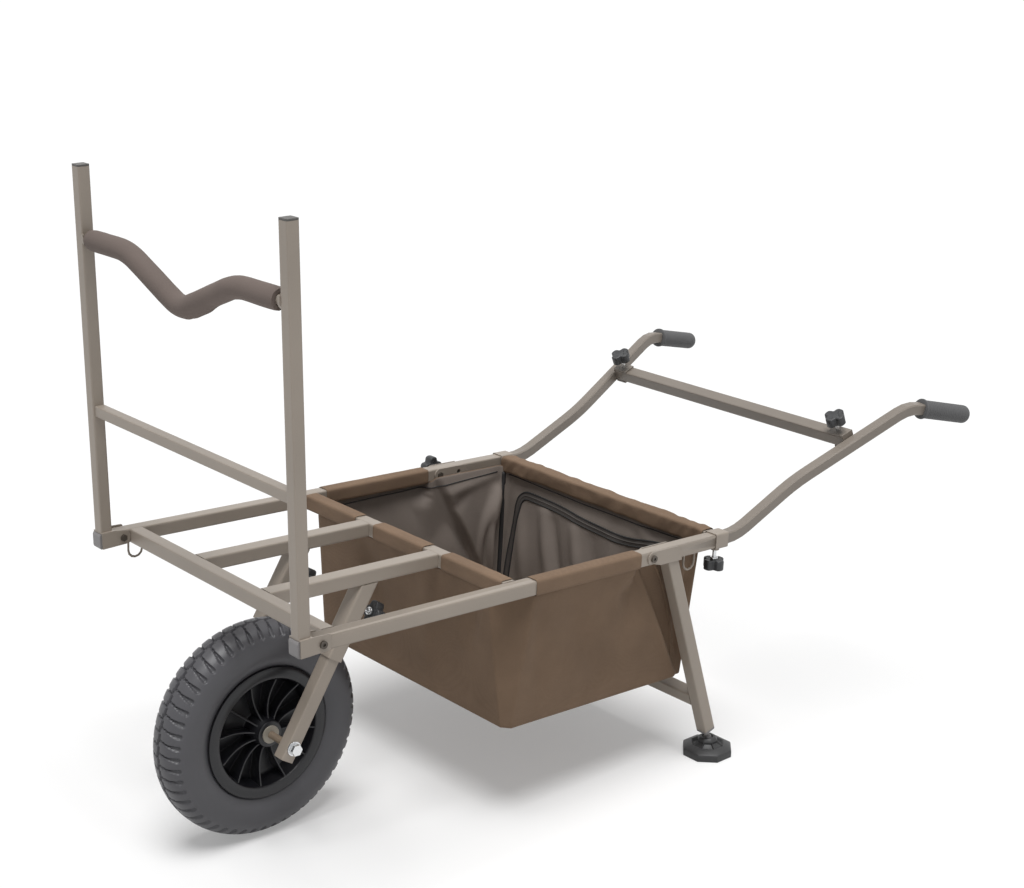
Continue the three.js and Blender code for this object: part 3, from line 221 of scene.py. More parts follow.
# woven cloth: three sets of threads, one along each axis
clothLook = {
    "threadScale": 520, "threadWander": 5.0, "fuzzScale": 300, "fuzz": 0.7, "cloudScale": 9, "cloudDetail": 6,
    "vary": 0.1, "sheen": 0.02, "sheenRough": 0.5, "shine": 0.25, "depth": 0.0004,
}
cloths = {
    "bagOutside": {"colour": (0.200, 0.134, 0.088), "rough": 0.85, "bump": 0.3},
    "bagInside": {"colour": (0.225, 0.190, 0.166), "rough": 0.6, "bump": 0.2},
    "bagHem": {"colour": (0.222, 0.150, 0.100), "rough": 0.85, "bump": 0.3},
}


def makeCloth(name, own):
    look = {**clothLook, **own}
    material, tree, shader = startMaterial(name, look["colour"], look["rough"])
    places = objectPlaces(tree)
    colour = mottle(tree, places, look["cloudScale"], look["cloudDetail"], look["colour"], look["vary"])
    threads = []
    for turn in ((0, 0, 0), (0, 0, math.pi / 2), (0, math.pi / 2, 0)):
        wave = tree.nodes.new("ShaderNodeTexWave")
        setInputs(wave, {"Scale": look["threadScale"], "Distortion": look["threadWander"], "Detail": 1.0})
        tree.links.new(objectPlaces(tree, turn), wave.inputs["Vector"])
        threads.append(wave.outputs["Fac"])
    weave = calculate(tree, "MULTIPLY", calculate(tree, "ADD", threads[0], threads[1]), threads[2])
    fuzz = calculate(tree, "MULTIPLY", addNoise(tree, places, look["fuzzScale"]), look["fuzz"])
    weave = calculate(tree, "ADD", weave, fuzz)
    scaled = tree.nodes.new("ShaderNodeVectorMath")
    scaled.operation = "SCALE"
    tree.links.new(colour, scaled.inputs[0])
    tree.links.new(spread(tree, weave, 0.2, 1.6, 0.9, 1.08), scaled.inputs["Scale"])
    tree.links.new(scaled.outputs["Vector"], shader.inputs["Base Color"])
    setInputs(shader, {"Sheen Weight": look["sheen"], "Sheen Roughness": look["sheenRough"],
                       "Specular IOR Level": look["shine"]})
    addBump(tree, shader, weave, look["bump"], look["depth"])
    return material


materials.update({name: makeCloth(name, look) for name, look in cloths.items()})
print("materials made:", len(materials))


def dress(thing, *names):
    thing.data.materials.clear()
    for name in names:
        thing.data.materials.append(materials[name])


# finishes of the nodes that keep their own shape, by a part of the node's name; the rest is powder coated
finishes = {
    # handles, brace and brace clips take the darker copy of the powder coat, which is painted shade
    "handle_tube": "handlePaintedShadeCoat", "handle_brace": "handlePaintedShadeCoat", "brace_clip": "handlePaintedShadeCoat",
    # the axle spacer's finish is the frame coat darkened to painted shade
    "axle_spacer": "spacerPaintedShadeCoat", "axle_bolt": "zincSteel", "washer": "zincSteel", "pivot_bolt": "darkBolt",
    "bush": "bushPlastic", "upright_cap": "topCap", "cap": "endCap", "plug": "endCap",
}


def finishFor(node):
    for part, finish in finishes.items():
        if part in node:
            return finish
    return "powderCoat"


for name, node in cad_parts.items():
    dress(node, finishFor(name))


# mesh helpers
def smoothAll(piece):
    for face in piece.data.polygons:
        face.use_smooth = True


def newPiece(name, points, faces):
    mesh = bpy.data.meshes.new(name)
    mesh.from_pydata([tuple(p) for p in points], [], faces)
    mesh.update()
    piece = addObject(name, mesh)
    smoothAll(piece)
    return piece


def tubeFaces(rings, around, closed=False):
    # the faces between rings of points, and from the last ring to the first where the tube is closed
    faces = []
    for r in range(rings if closed else rings - 1):
        here, there = r * around, (r + 1) % rings * around
        for i in range(around):
            j = (i + 1) % around
            faces.append((here + i, here + j, there + j, there + i))
    return faces


def chooseOnly(piece):
    bpy.ops.object.select_all(action="DESELECT")
    piece.select_set(True)
    bpy.context.view_layer.objects.active = piece


def selectMesh():
    bpy.ops.mesh.select_all(action="SELECT")


def extrudeBy(x, y, z):
    bpy.ops.mesh.extrude_region_move(TRANSFORM_OT_translate={"value": (x, y, z)})


def endEdit():
    # turns all normals outward and leaves edit mode
    selectMesh()
    bpy.ops.mesh.normals_make_consistent(inside=False)
    bpy.ops.object.mode_set(mode="OBJECT")


def recalculate(piece):
    chooseOnly(piece)
    bpy.ops.object.mode_set(mode="EDIT")
    selectMesh()
    bpy.ops.mesh.remove_doubles(threshold=0.00001)
    endEdit()


def applyModifier(piece, kind, **settings):
    chooseOnly(piece)
    modifier = piece.modifiers.new(kind.lower(), kind)
    for key, value in settings.items():
        setattr(modifier, key, value)
    bpy.ops.object.modifier_apply(modifier=modifier.name)


def smoothBy(piece, degrees):
    chooseOnly(piece)
    bpy.ops.object.shade_smooth_by_angle(angle=math.radians(degrees))


def along(a, b, share):
    return a + (b - a) * share


def held(value):
    return max(0.0, min(1.0, value))


def arcPoints(cx, cy, radius, start, end, steps):
    angles = [math.radians(start + (end - start) * k / steps) for k in range(steps + 1)]
    return [(cx + radius * math.cos(a), cy + radius * math.sin(a)) for a in angles]


# the cloth bag: a shell that hangs from the tubes, in mm on the bed; top and low are half of its outline
bagShell = {
    "top": [(249, 300), (316, 352), (316, 599), (286, 617), (286, 786), (268, 803)],
    "low": [(262, 331), (278, 346), (278, 752), (272, 762), (272, 771), (262, 780)],
    "rim": (264.5, 264.5, 264.5, 276.0, 276.0, 272.0), "middle": (0, 556), "floor": 4.6, "round": 7.0,
    "step": 8.0, "levels": 34, "roundSteps": 4, "floorRings": 12, "wall": 2.0,
    "hollow": 9, "wave": 5, "waveLength": (90, 90, 110), "sag": 5, "floorWave": 3, "floorWaveLength": 70,
    "legFrom": 602, "legBlend": 80, "legSide": 288.5, "legTop": 262, "legTopBlend": 45, "widest": 318,
}
# which side each run of the outline is on, and its share of that side; the others are corners and steps
bagSpans = {
    1: ("right", 0.0, 0.6), 3: ("right", 0.62, 1.0), 5: ("rear", 0.0, 1.0),
    7: ("left", 1.0, 0.62), 9: ("left", 0.6, 0.0), 11: ("front", 0.0, 1.0),
}
# folds in a wall: side, start (along, down), end, how far in, how wide
bagFolds = [
    ("left", (0.985, 0.20), (0.80, 0.86), 22, 0.045), ("left", (0.985, 0.20), (0.66, 0.72), 9, 0.03),
    ("left", (0.93, 0.45), (0.88, 0.95), -13, 0.035), ("left", (0.99, 0.06), (0.62, 0.15), 7, 0.03),
    ("left", (0.75, 0.18), (0.60, 0.30), -5, 0.03), ("left", (0.30, 0.1), (0.42, 0.9), -6, 0.07),
    ("left", (0.60, 0.2), (0.50, 0.9), 6, 0.04), ("left", (0.08, 0.2), (0.3, 0.5), 6, 0.06),
    ("rear", (0.93, 0.22), (0.86, 0.9), 6, 0.03), ("rear", (0.78, 0.24), (0.68, 0.95), 12, 0.030),
    ("rear", (0.72, 0.28), (0.63, 0.9), -7, 0.022), ("rear", (0.60, 0.28), (0.52, 0.8), 8, 0.024),
    ("rear", (0.50, 0.3), (0.44, 0.9), -6, 0.03), ("rear", (0.40, 0.25), (0.38, 0.9), 7, 0.03),
    ("rear", (0.30, 0.25), (0.30, 0.9), -5, 0.04), ("rear", (0.15, 0.1), (0.22, 0.7), 7, 0.04),
    ("rear", (0.97, 0.10), (0.05, 0.12), -4, 0.045), ("rear", (0.30, 0.05), (0.22, 0.17), 6, 0.03),
    ("right", (0.20, 0.05), (0.32, 0.85), 6, 0.06), ("right", (0.55, 0.1), (0.50, 0.9), -4, 0.08),
    ("right", (0.99, 0.05), (0.80, 0.8), 9, 0.035), ("right", (0.93, 0.2), (0.72, 0.7), -5, 0.04),
    ("front", (0.30, 0.05), (0.38, 0.9), 6, 0.05), ("right", (0.03, 0.1), (0.10, 0.9), 5, 0.03),
    ("front", (0.66, 0.1), (0.60, 0.9), -5, 0.06), ("front", (0.93, 0.02), (0.85, 0.5), 7, 0.04),
]
# how a fold fades to its ends, and how quickly all folds come in below the rim and above the floor
foldFade = {"start": 0.15, "span": 0.7, "below": 6, "above": 5}


def outlineWithSides(half):
    right = [Vector((x, y)) for x, y in half]
    left = [Vector((-x, y)) for x, y in reversed(half)]
    return right + left


def foldDepth(side, acrossShare, downShare):
    depth = 0.0
    for where, start, end, amount, width in bagFolds:
        if where != side:
            continue
        a, b, p = Vector(start), Vector(end), Vector((acrossShare, downShare))
        line = b - a
        share = held((p - a).dot(line) / line.length_squared)
        gap = (p - a - line * share).length
        fade = math.sin(math.pi * held(foldFade["start"] + foldFade["span"] * share))
        depth += amount * fade * math.exp(-((gap / width) ** 2))
    return depth * min(1, downShare * foldFade["below"]) * min(1, (1 - downShare) * foldFade["above"])


def sideLimit(y, z):
    # how far out the cloth may stand, so that the folding legs pass it
    look = bagShell
    if y > look["legFrom"]:
        return look["legSide"]
    away = min(1.0, (look["legFrom"] - y) / look["legBlend"])
    away *= away * (3 - 2 * away)
    deep = held((look["legTop"] - z) / look["legTopBlend"])
    return look["widest"] - (look["widest"] - look["legSide"]) * (1 - away) * deep


def bagColumns():
    # for each column of the shell: its top, its foot, its side, its share of that side, its rim's height
    top, low = outlineWithSides(bagShell["top"]), outlineWithSides(bagShell["low"])
    heights = bagShell["rim"] + bagShell["rim"][::-1]
    columns = []
    for i in range(len(top)):
        j = (i + 1) % len(top)
        side, first, last = bagSpans.get(i, ("", 0, 0))
        count = max(1, round((top[j] - top[i]).length / bagShell["step"]))
        for k in range(count):
            share = k / count
            high, deep = along(top[i], top[j], share), along(low[i], low[j], share)
            columns.append((high, deep, side, along(first, last, share), along(heights[i], heights[j], share)))
    return columns


def wallRows(columns, normals):
    look, rows = bagShell, []
    for level in range(look["levels"] + 1):
        down = level / look["levels"]
        loose = math.sin(math.pi * min(1, down * 1.02)) ** 0.7
        row = []
        for normal, (high, deep, side, across, rim) in zip(normals, columns):
            z = along(rim, look["floor"] + look["round"], down)
            place = along(high, deep, down)
            push = 0.0
            if side:
                push += look["hollow"] * loose * math.sin(math.pi * across) + foldDepth(side, across, down)
                spot = Vector([size / length for size, length in zip((*place, z), look["waveLength"])])
                push += look["wave"] * (noise.noise(spot) + 0.2) * loose
            place = place - normal * push
            place.x = math.copysign(min(abs(place.x), sideLimit(place.y, z)), place.x)
            row.append((place.x, place.y, z))
        rows.append(row)
    return rows


def floorRows(columns, normals):
    # the rounded lower edge, then rings that close in on the middle
    look = bagShell
    radius, rows = look["round"], []
    for step in range(1, look["roundSteps"] + 1):
        angle = step / look["roundSteps"] * math.pi / 2
        z = look["floor"] + radius - radius * math.sin(angle)
        inset = radius * (1 - math.cos(angle))
        rows.append([(column[1].x - normal.x * inset, column[1].y - normal.y * inset, z)
                     for normal, column in zip(normals, columns)])
    centre, edge = Vector(look["middle"]), rows[-1]
    for step in range(1, look["floorRings"]):
        share = 1 - step / look["floorRings"]
        row = []
        for x, y, z in edge:
            flat = centre + (Vector((x, y)) - centre) * share
            spot = Vector((flat.x / look["floorWaveLength"], flat.y / look["floorWaveLength"], 0.3))
            sag = -look["sag"] * (1 - share) + look["floorWave"] * noise.noise(spot)
            row.append((flat.x, flat.y, look["floor"] + sag * (1 - share ** 6)))
        rows.append(row)
    return rows


def buildBag():
    columns = bagColumns()
    around = len(columns)
    normals = []
    for i in range(around):
        run = (columns[(i + 1) % around][0] - columns[i - 1][0]).normalized()
        normals.append(Vector((run.y, -run.x)))
    rows = wallRows(columns, normals) + floorRows(columns, normals)
    points = [onBed(*p) for row in rows for p in row]
    last, middle = len(points) - around, len(points)
    points.append(onBed(*bagShell["middle"], bagShell["floor"] - bagShell["sag"]))
    faces = tubeFaces(len(rows), around)
    faces += [(last + i, last + (i + 1) % around, middle) for i in range(around)]
    bag = newPiece("bagShell", points, faces)
    dress(bag, "bagOutside", "bagInside")
    # a wall face a few rows down tells whether the normals point outward
    centroid = sum((Vector(v.co) for v in bag.data.vertices), Vector()) / len(bag.data.vertices)
    sample = bag.data.polygons[around * 5]
    if (sample.center - centroid).dot(sample.normal) < 0:
        bag.data.flip_normals()
    applyModifier(bag, "SOLIDIFY", thickness=bagShell["wall"] / 1000, offset=-1, use_rim=True,
                  material_offset=1, use_quality_normals=True)
    applyModifier(bag, "SUBSURF", levels=1, render_levels=1)
    smoothAll(bag)
    return bag


bag = buildBag()
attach(bag, "chassis")
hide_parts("bag")
print("bag shell made,", len(bag.data.polygons), "faces")

# hems: cloth sleeves round the tubes; from and to along the tube, with the tube's middle on the bed
hems = {
    "frontHemLeft": {"axis": "x", "from": -287, "to": -127, "middle": 311.2, "slack": 0.5},
    "frontHemMiddle": {"axis": "x", "from": -73.5, "to": 73.5, "middle": 311.2, "slack": 0.5},
    "frontHemRight": {"axis": "x", "from": 125, "to": 287, "middle": 311.2, "slack": 0.5},
    "rearHem": {"axis": "x", "from": -286, "to": 286, "middle": 803.7, "slack": 2.4, "gather": 2.6},
    "sideHemLeft": {"axis": "y", "from": 350, "to": 600, "middle": -304.8, "slack": 0.4},
    "sideHemRight": {"axis": "y", "from": 350, "to": 600, "middle": 304.8, "slack": 0.4},
}
hemShape = {
    "gap": 0.4, "corner": 3.4, "wall": 1.3, "ringStep": 7, "lift": 0.15, "waveLift": 0.45,
    "waveLong": 26, "waveRound": 16, "waveShift": 50, "gatherEnd": 287, "gatherPitch": 13.5,
    "gatherLean": 1.1, "gatherReach": 170,
}


def hemSection():
    corner = hemShape["corner"]
    half = bed["railHalf"] + hemShape["gap"] - corner
    arcs = [arcPoints(cx * half, cz * half, corner, 90 * k, 90 * k + 90, 3)
            for k, (cx, cz) in enumerate(((1, 1), (-1, 1), (-1, -1), (1, -1)))]
    section = []
    for arc, (b, *others) in zip(arcs, arcs[1:] + arcs[:1]):
        a = arc[-1]
        section += arc + [(along(a[0], b[0], share), along(a[1], b[1], share)) for share in (0.3, 0.7)]
    return section


def hemLift(look, place, a, b):
    # how far the cloth stands off the tube; the rear hem is gathered near its ends
    shape = hemShape
    spot = Vector((place / shape["waveLong"], a / shape["waveRound"],
                   b / shape["waveRound"] + look["middle"] / shape["waveShift"]))
    lift = max(0.0, look["slack"] * (noise.noise(spot) + shape["waveLift"])) + shape["lift"]
    if "gather" in look:
        end = shape["gatherEnd"]
        crest = math.cos((place - b * shape["gatherLean"] + end) / shape["gatherPitch"] * math.pi)
        nearEnd = min(place + end, end - place)
        lift += look["gather"] * (max(0.0, crest) * max(0.0, 1 - nearEnd / shape["gatherReach"]))
    return lift


def hemPlace(look, place, across, up):
    if look["axis"] == "x":
        return onBed(place, look["middle"] + across, bed["railMid"] + up)
    return onBed(look["middle"] + across, place, bed["railMid"] + up)


def buildHem(name, look):
    section = hemSection()
    length = look["to"] - look["from"]
    count = max(4, round(length / hemShape["ringStep"]))
    points = []
    for step in range(count + 1):
        place = look["from"] + length * step / count
        for a, b in section:
            radial = Vector((a, b)).normalized()
            lift = hemLift(look, place, a, b)
            points.append(hemPlace(look, place, a + radial.x * lift, b + radial.y * lift))
    hem = newPiece(name, points, tubeFaces(count + 1, len(section)))
    face = hem.data.polygons[0]
    outward = face.center - hemPlace(look, 0, 0, 0)
    outward[0 if look["axis"] == "x" else 1] = 0
    if outward.dot(face.normal) < 0:
        hem.data.flip_normals()
    applyModifier(hem, "SOLIDIFY", thickness=hemShape["wall"] / 1000, offset=1, use_rim=True)
    applyModifier(hem, "SUBSURF", levels=1, render_levels=1)
    dress(hem, "bagHem")
    smoothAll(hem)
    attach(hem, "chassis")


for name, look in hems.items():
    buildHem(name, look)
print("hems made:", len(hems))

# the zip round the rear pocket, the seams, piping and bindings, laid on the cloth; lines are in mm on the bed,
# as (x, z) on the rear wall and (y, z) on the side walls, and strips are width, thickness, finish, shift aside
trim = {
    "step": 6, "rearFrom": 690, "rearTo": 900,
    "zipStep": 4,
    "zipLine": [(-244, 44), (-241, 90), (-237, 130), (-233, 170), (-230, 196), (-228, 210), (-223, 220),
                (-214, 226), (-200, 228), (-170, 228), (-100, 226), (-20, 219), (60, 213), (110, 217),
                (150, 226), (200, 231), (236, 226), (252, 210), (258, 180), (260, 44)],
    "zipStrips": {
        "zipTape": (17, 0.8, "zipTape"), "zipEdgeOuter": (3.6, 2.2, "blackTape", 7.4),
        "zipEdgeInner": (3.6, 2.2, "blackTape", -7.4), "zipChain": (3.2, 1.9, "zipTape"),
    },
    "hemLine": [(-270, 257), (-100, 254), (100, 254), (270, 257)], "hemStrip": (2.2, 1.2, "blackTape"),
    "sideLine": [(358, 247), (450, 250), (580, 252), (640, 258), (775, 264)],
    "sideStrip": (2.4, 1.3, "blackTape"), "sideFrom": 150, "sideTo": 330,
    "pipingLine": [(668, 256), (690, 225), (712, 180), (728, 130), (740, 80), (746, 34)],
    "pipingStrip": (5.0, 1.4, "bagOutside"), "pipingFrom": 400, "pipingTo": 200,
    "bindingTop": 262, "bindingStep": 6, "bindingCount": 40,
    "cornerFrom": (200, 715), "cornerTo": (290, 802), "cornerStrip": (9, 2.0, "blackTape"),
    "frontFrom": (180, 400), "frontTo": (290, 300), "frontStrip": (7, 1.6, "blackTape"),
}


def smoothLine(points, step):
    # rounds a chain of points and spaces it evenly
    line = [Vector(p) for p in points]
    for again in range(2):
        finer = [line[0]]
        for a, b in zip(line, line[1:]):
            finer += [along(a, b, 0.25), along(a, b, 0.75)]
        line = finer + [line[-1]]
    lengths = [0.0]
    for a, b in zip(line, line[1:]):
        lengths.append(lengths[-1] + (b - a).length)
    count = max(2, round(lengths[-1] / step))
    even, at = [], 0
    for k in range(count + 1):
        target = lengths[-1] * k / count
        while at < len(line) - 2 and lengths[at + 1] < target:
            at += 1
        share = (target - lengths[at]) / max(1e-9, lengths[at + 1] - lengths[at])
        even.append(along(line[at], line[at + 1], share))
    return even


def layOn(cloth, rays):
    # the hit and normal on the cloth for each (from, towards) pair in bed mm
    spots = []
    for start, end in rays:
        a, b = onBed(*start), onBed(*end)
        found, place, normal, index = cloth.ray_cast(a, (b - a).normalized())
        if found:
            spots.append((place, normal if normal.dot(a - place) > 0 else -normal))
    return spots


def layStrip(name, spots, width, thick, finish, shift=0.0):
    sides, lift, points = 8, 0.0001, []
    for k, (place, normal) in enumerate(spots):
        run = (spots[min(k + 1, len(spots) - 1)][0] - spots[max(k - 1, 0)][0]).normalized()
        across = run.cross(normal).normalized()
        middle = place + across * shift / 1000 + normal * lift
        for q in range(sides):
            angle = math.tau * q / sides
            aside, rise = across * width / 2000 * math.cos(angle), normal * thick / 1000 * math.sin(angle)
            points.append(middle + aside + rise)
    last = len(points) - sides
    faces = tubeFaces(len(spots), sides)
    faces += [tuple(range(sides)), tuple(reversed(range(last, last + sides)))]
    strip = newPiece(name, points, faces)
    recalculate(strip)
    dress(strip, finish)
    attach(strip, "chassis")


def buildTrim(cloth):
    look = trim
    rearFrom, rearTo = look["rearFrom"], look["rearTo"]
    zipLine = smoothLine(look["zipLine"], look["zipStep"])
    spots = layOn(cloth, [((p.x, rearFrom, p.y), (p.x, rearTo, p.y)) for p in zipLine])
    for name, strip in look["zipStrips"].items():
        layStrip(name, spots, *strip)
    hemLine = smoothLine(look["hemLine"], look["step"])
    spots = layOn(cloth, [((p.x, rearFrom, p.y), (p.x, rearTo, p.y)) for p in hemLine])
    layStrip("hemSeam", spots, *look["hemStrip"])
    heights = [look["bindingTop"] - k * look["bindingStep"] for k in range(look["bindingCount"])]
    for side, name in ((-1, "Left"), (1, "Right")):
        for piece, key in (("sideSeam", "side"), ("outerPiping", "piping")):
            line = smoothLine(look[key + "Line"], look["step"])
            start, end = side * look[key + "From"], side * look[key + "To"]
            spots = layOn(cloth, [((start, p.x, p.y), (end, p.x, p.y)) for p in line])
            layStrip(piece + name, spots, *look[key + "Strip"])
        for piece, key in (("cornerBinding", "corner"), ("frontBinding", "front")):
            (fromX, fromY), (toX, toY) = look[key + "From"], look[key + "To"]
            spots = layOn(cloth, [((side * fromX, fromY, z), (side * toX, toY, z)) for z in heights])
            layStrip(piece + name, spots, *look[key + "Strip"])


buildTrim(bag)
print("zip and bindings laid")

# the foam sleeve on the rod rest, in mm on the gate, with a groove below and an opened slit beside it
foamSleeve = {
    "halfLength": 279, "bendHalf": 160, "height": 541, "drop": 67, "bend": 30, "step": 9, "bendSteps": 8,
    "radius": 18.2, "endInset": 1.2, "middle": -30.5, "bore": 10.4, "sides": 28,
    "ripple": 0.5, "rippleLength": 30, "rippleRound": 1.3, "seamDepth": 1.3, "seamWidth": 0.11,
    "slitLift": 4.2, "slitAt": 48, "slitHalf": 36, "slitTurn": 0.28, "slitWidth": 0.24,
}


def restCurve(look):
    half, bend, height = look["halfLength"], look["bendHalf"], look["height"]
    corners = [Vector(p) for p in ((-half, height), (-bend, height), (0, height - look["drop"]),
                                   (bend, height), (half, height))]
    path = [corners[0]]
    for i in (1, 2, 3):
        before = corners[i] + (corners[i - 1] - corners[i]).normalized() * look["bend"]
        after = corners[i] + (corners[i + 1] - corners[i]).normalized() * look["bend"]
        count = max(2, round((before - path[-1]).length / look["step"]))
        path += [along(path[-1], before, (k + 1) / count) for k in range(count)]
        for k in range(look["bendSteps"]):
            t = (k + 1) / look["bendSteps"]
            path.append(before * (1 - t) ** 2 + corners[i] * 2 * t * (1 - t) + after * t * t)
    count = round((corners[4] - path[-1]).length / look["step"])
    return path + [along(path[-1], corners[4], (k + 1) / count) for k in range(count)]


def foamRadius(look, spot, angle):
    swell = Vector((spot.x / look["rippleLength"], math.cos(angle) * look["rippleRound"],
                    math.sin(angle) * look["rippleRound"]))
    radius = look["radius"] + look["ripple"] * noise.noise(swell)
    fromSeam = abs((angle - 1.5 * math.pi + math.pi) % math.tau - math.pi)
    radius -= look["seamDepth"] * math.exp(-((fromSeam / look["seamWidth"]) ** 2))
    lengthwise = math.exp(-(((spot.x - look["slitAt"]) / look["slitHalf"]) ** 4))
    around = math.exp(-((abs(fromSeam - look["slitTurn"]) / look["slitWidth"]) ** 2))
    return radius + look["slitLift"] * (lengthwise * around)


def buildFoam():
    look, path = foamSleeve, restCurve(foamSleeve)
    sides, last = look["sides"], len(path) - 1
    skin, bore = [], []
    for i, spot in enumerate(path):
        run = (path[min(i + 1, last)] - path[max(i - 1, 0)]).normalized()
        up = Vector((-run.y, run.x))
        outer, inner = [], []
        for k in range(sides):
            angle = math.tau * k / sides
            radius = foamRadius(look, spot, angle) - (look["endInset"] if i in (0, last) else 0)
            for ring, reach in ((outer, radius), (inner, look["bore"])):
                side, rise = reach * math.cos(angle), reach * math.sin(angle)
                ring.append(onGate(spot.x + up.x * rise, look["middle"] + side, spot.y + up.y * rise))
        skin.append(outer)
        bore.append(inner)
    rings = skin + bore[::-1]
    points = [p for ring in rings for p in ring]
    foam = newPiece("foamSleeve", points, tubeFaces(len(rings), sides, closed=True))
    recalculate(foam)
    smoothBy(foam, 50)
    dress(foam, "foamSkin")
    return foam


foam = buildFoam()
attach(foam, "gate")
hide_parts("rod_rest_foam")
print("foam sleeve made")


# drawing and turning helpers
def joinPieces(pieces, name):
    bpy.ops.object.select_all(action="DESELECT")
    for piece in pieces:
        piece.select_set(True)
    bpy.context.view_layer.objects.active = pieces[0]
    bpy.ops.object.join()
    whole = bpy.context.object
    whole.name = name
    whole.data.name = name
    return whole


def drawLine(points):
    # a chain of edges through the points, drawn by extruding one vertex
    bpy.ops.object.select_all(action="DESELECT")
    bpy.ops.mesh.primitive_plane_add(size=0.001, location=(0, 0, 0))
    piece = bpy.context.object
    bpy.context.tool_settings.mesh_select_mode = (True, False, False)
    bpy.ops.object.mode_set(mode="EDIT")
    selectMesh()
    bpy.ops.mesh.merge(type="CENTER")
    bpy.ops.transform.translate(value=points[0])
    for last, point in zip(points, points[1:]):
        extrudeBy(*(point - last))
    return piece


def pickFaces(piece, test):
    # leaves the piece in edit mode with the faces that pass the test selected
    if bpy.context.mode != "OBJECT":
        bpy.ops.object.mode_set(mode="OBJECT")
    chooseOnly(piece)
    bpy.context.tool_settings.mesh_select_mode = (False, False, True)
    for part in (piece.data.vertices, piece.data.edges):
        part.foreach_set("select", [False] * len(part))
    for face in piece.data.polygons:
        face.select = test(face)
    bpy.ops.object.mode_set(mode="EDIT")


def addRound(sides, radius, depth, height):
    # an upright cylinder or prism in mm, with its middle at the height
    bpy.ops.object.select_all(action="DESELECT")
    bpy.ops.mesh.primitive_cylinder_add(vertices=sides, radius=radius / 1000, depth=depth / 1000,
                                        location=(0, 0, height / 1000))
    piece = bpy.context.object
    bpy.ops.object.transform_apply(location=True, rotation=True, scale=True)
    return piece


def turnOnX(name, profile, steps, closed):
    # profile points are (across, radius) in mm; the axis is X through the origin
    points = [Vector((across, 0, radius)) / 1000 for across, radius in profile]
    if closed:
        points.append(points[0])
    piece = drawLine(points)
    selectMesh()
    bpy.ops.mesh.spin(steps=steps, angle=math.tau, center=(0, 0, 0), axis=(1, 0, 0))
    selectMesh()
    bpy.ops.mesh.remove_doubles(threshold=0.000005)
    endEdit()
    piece.name = name
    return piece


def settle(piece, place, turn=None):
    # moves the mesh to its place, and leaves the object at the origin
    matrix = Matrix.Translation(place) @ (turn.to_matrix().to_4x4() if turn else Matrix.Identity(4))
    piece.data.transform(matrix)
    piece.data.update()


# the tyre: turned, then its grooves are pressed in; side is the wall from the widest point to the bead
tyreShape = {
    "radius": 194.8, "waist": 150.0, "halfWidth": 45.3, "crownSteps": 40, "crownTurn": 84,
    "crownWide": 0.86, "crownHigh": 0.9,
    "side": [(45.3, 148), (44.8, 142), (43.2, 136), (41.0, 131), (38.6, 127), (37.2, 124.4), (36.6, 122.6),
             (34.4, 120.8), (33.2, 119.6), (33.0, 114.2)],
    "lugs": 54, "stepsPerLug": 12, "grooveFoot": 176.0, "footBlend": 4, "pressFrom": 140, "pressAcross": 0.45,
    "centreDepth": 6.0, "centreHalf": 2.3, "centreWave": 1.3, "centreReach": 5,
    "sideDepth": 5.0, "slant": 0.040, "grooveReach": 36.0, "grooveSoft": 0.8, "grooveFlare": 3.4, "least": 0.3,
}


def tyreProfile(look):
    half = [(0.0, look["radius"])]
    for k in range(1, look["crownSteps"] + 1):
        angle = math.radians(90 - look["crownTurn"] * k / look["crownSteps"])
        half.append((look["halfWidth"] * abs(math.cos(angle)) ** look["crownWide"],
                     look["waist"] + (look["radius"] - look["waist"]) * math.sin(angle) ** look["crownHigh"]))
    half += look["side"]
    return [(-x, r) for x, r in reversed(half[1:])] + half


def grooveDepth(look, x, radius, angle):
    # the wavy groove in the centre, and slanted ones that widen towards the shoulder, by turns left and right
    wave = look["centreWave"] * math.sin(angle * look["lugs"]) if abs(x) < look["centreReach"] else 0
    fromCentre = abs(x - wave)
    depth = 0.0
    if fromCentre < look["centreHalf"]:
        depth = look["centreDepth"] * max(0.0, 1 - (fromCentre / look["centreHalf"]) ** 4)
    pitch, near = math.tau / look["lugs"], x > 0
    outward = min(1.0, abs(x) / look["grooveReach"])
    phase = (angle + look["slant"] * outward * (1 if near else -1)) / pitch + (0 if near else 0.5)
    offset = abs(phase - round(phase)) * pitch * radius
    low = (radius - look["grooveFoot"]) / (look["radius"] - look["grooveFoot"])
    wide = 1.0 + look["grooveFlare"] * max(0.0, (outward - 0.5) / 0.5) ** 1.2
    wide *= held(low * 5 + 0.5)
    reach = wide + look["grooveSoft"]
    if offset < reach and wide > look["least"]:
        share = max(0.0, 1 - (offset / reach) ** 3)
        depth = max(depth, look["sideDepth"] * share * (0.75 + 0.25 * outward) * held(low * 3 + 0.3))
    return depth


def buildTyre():
    look = tyreShape
    tyre = turnOnX("tyre", tyreProfile(look), look["lugs"] * look["stepsPerLug"], True)
    for vertex in tyre.data.vertices:
        x, y, z = vertex.co * 1000
        radius = math.hypot(y, z)
        if radius < look["grooveFoot"] - look["footBlend"]:
            continue
        upward = (radius - look["pressFrom"]) / radius
        direction = Vector((x * look["pressAcross"], y * upward, z * upward)).normalized()
        vertex.co -= direction * grooveDepth(look, x, radius, math.atan2(y, z)) / 1000
    tyre.data.update()
    settle(tyre, Vector(bed["axle"]))
    smoothBy(tyre, 35)
    dress(tyre, "tyreRubber")
    return tyre


tyre = buildTyre()
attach(tyre, "wheel")
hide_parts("tyre")
print("tyre made,", len(tyre.data.polygons), "faces")

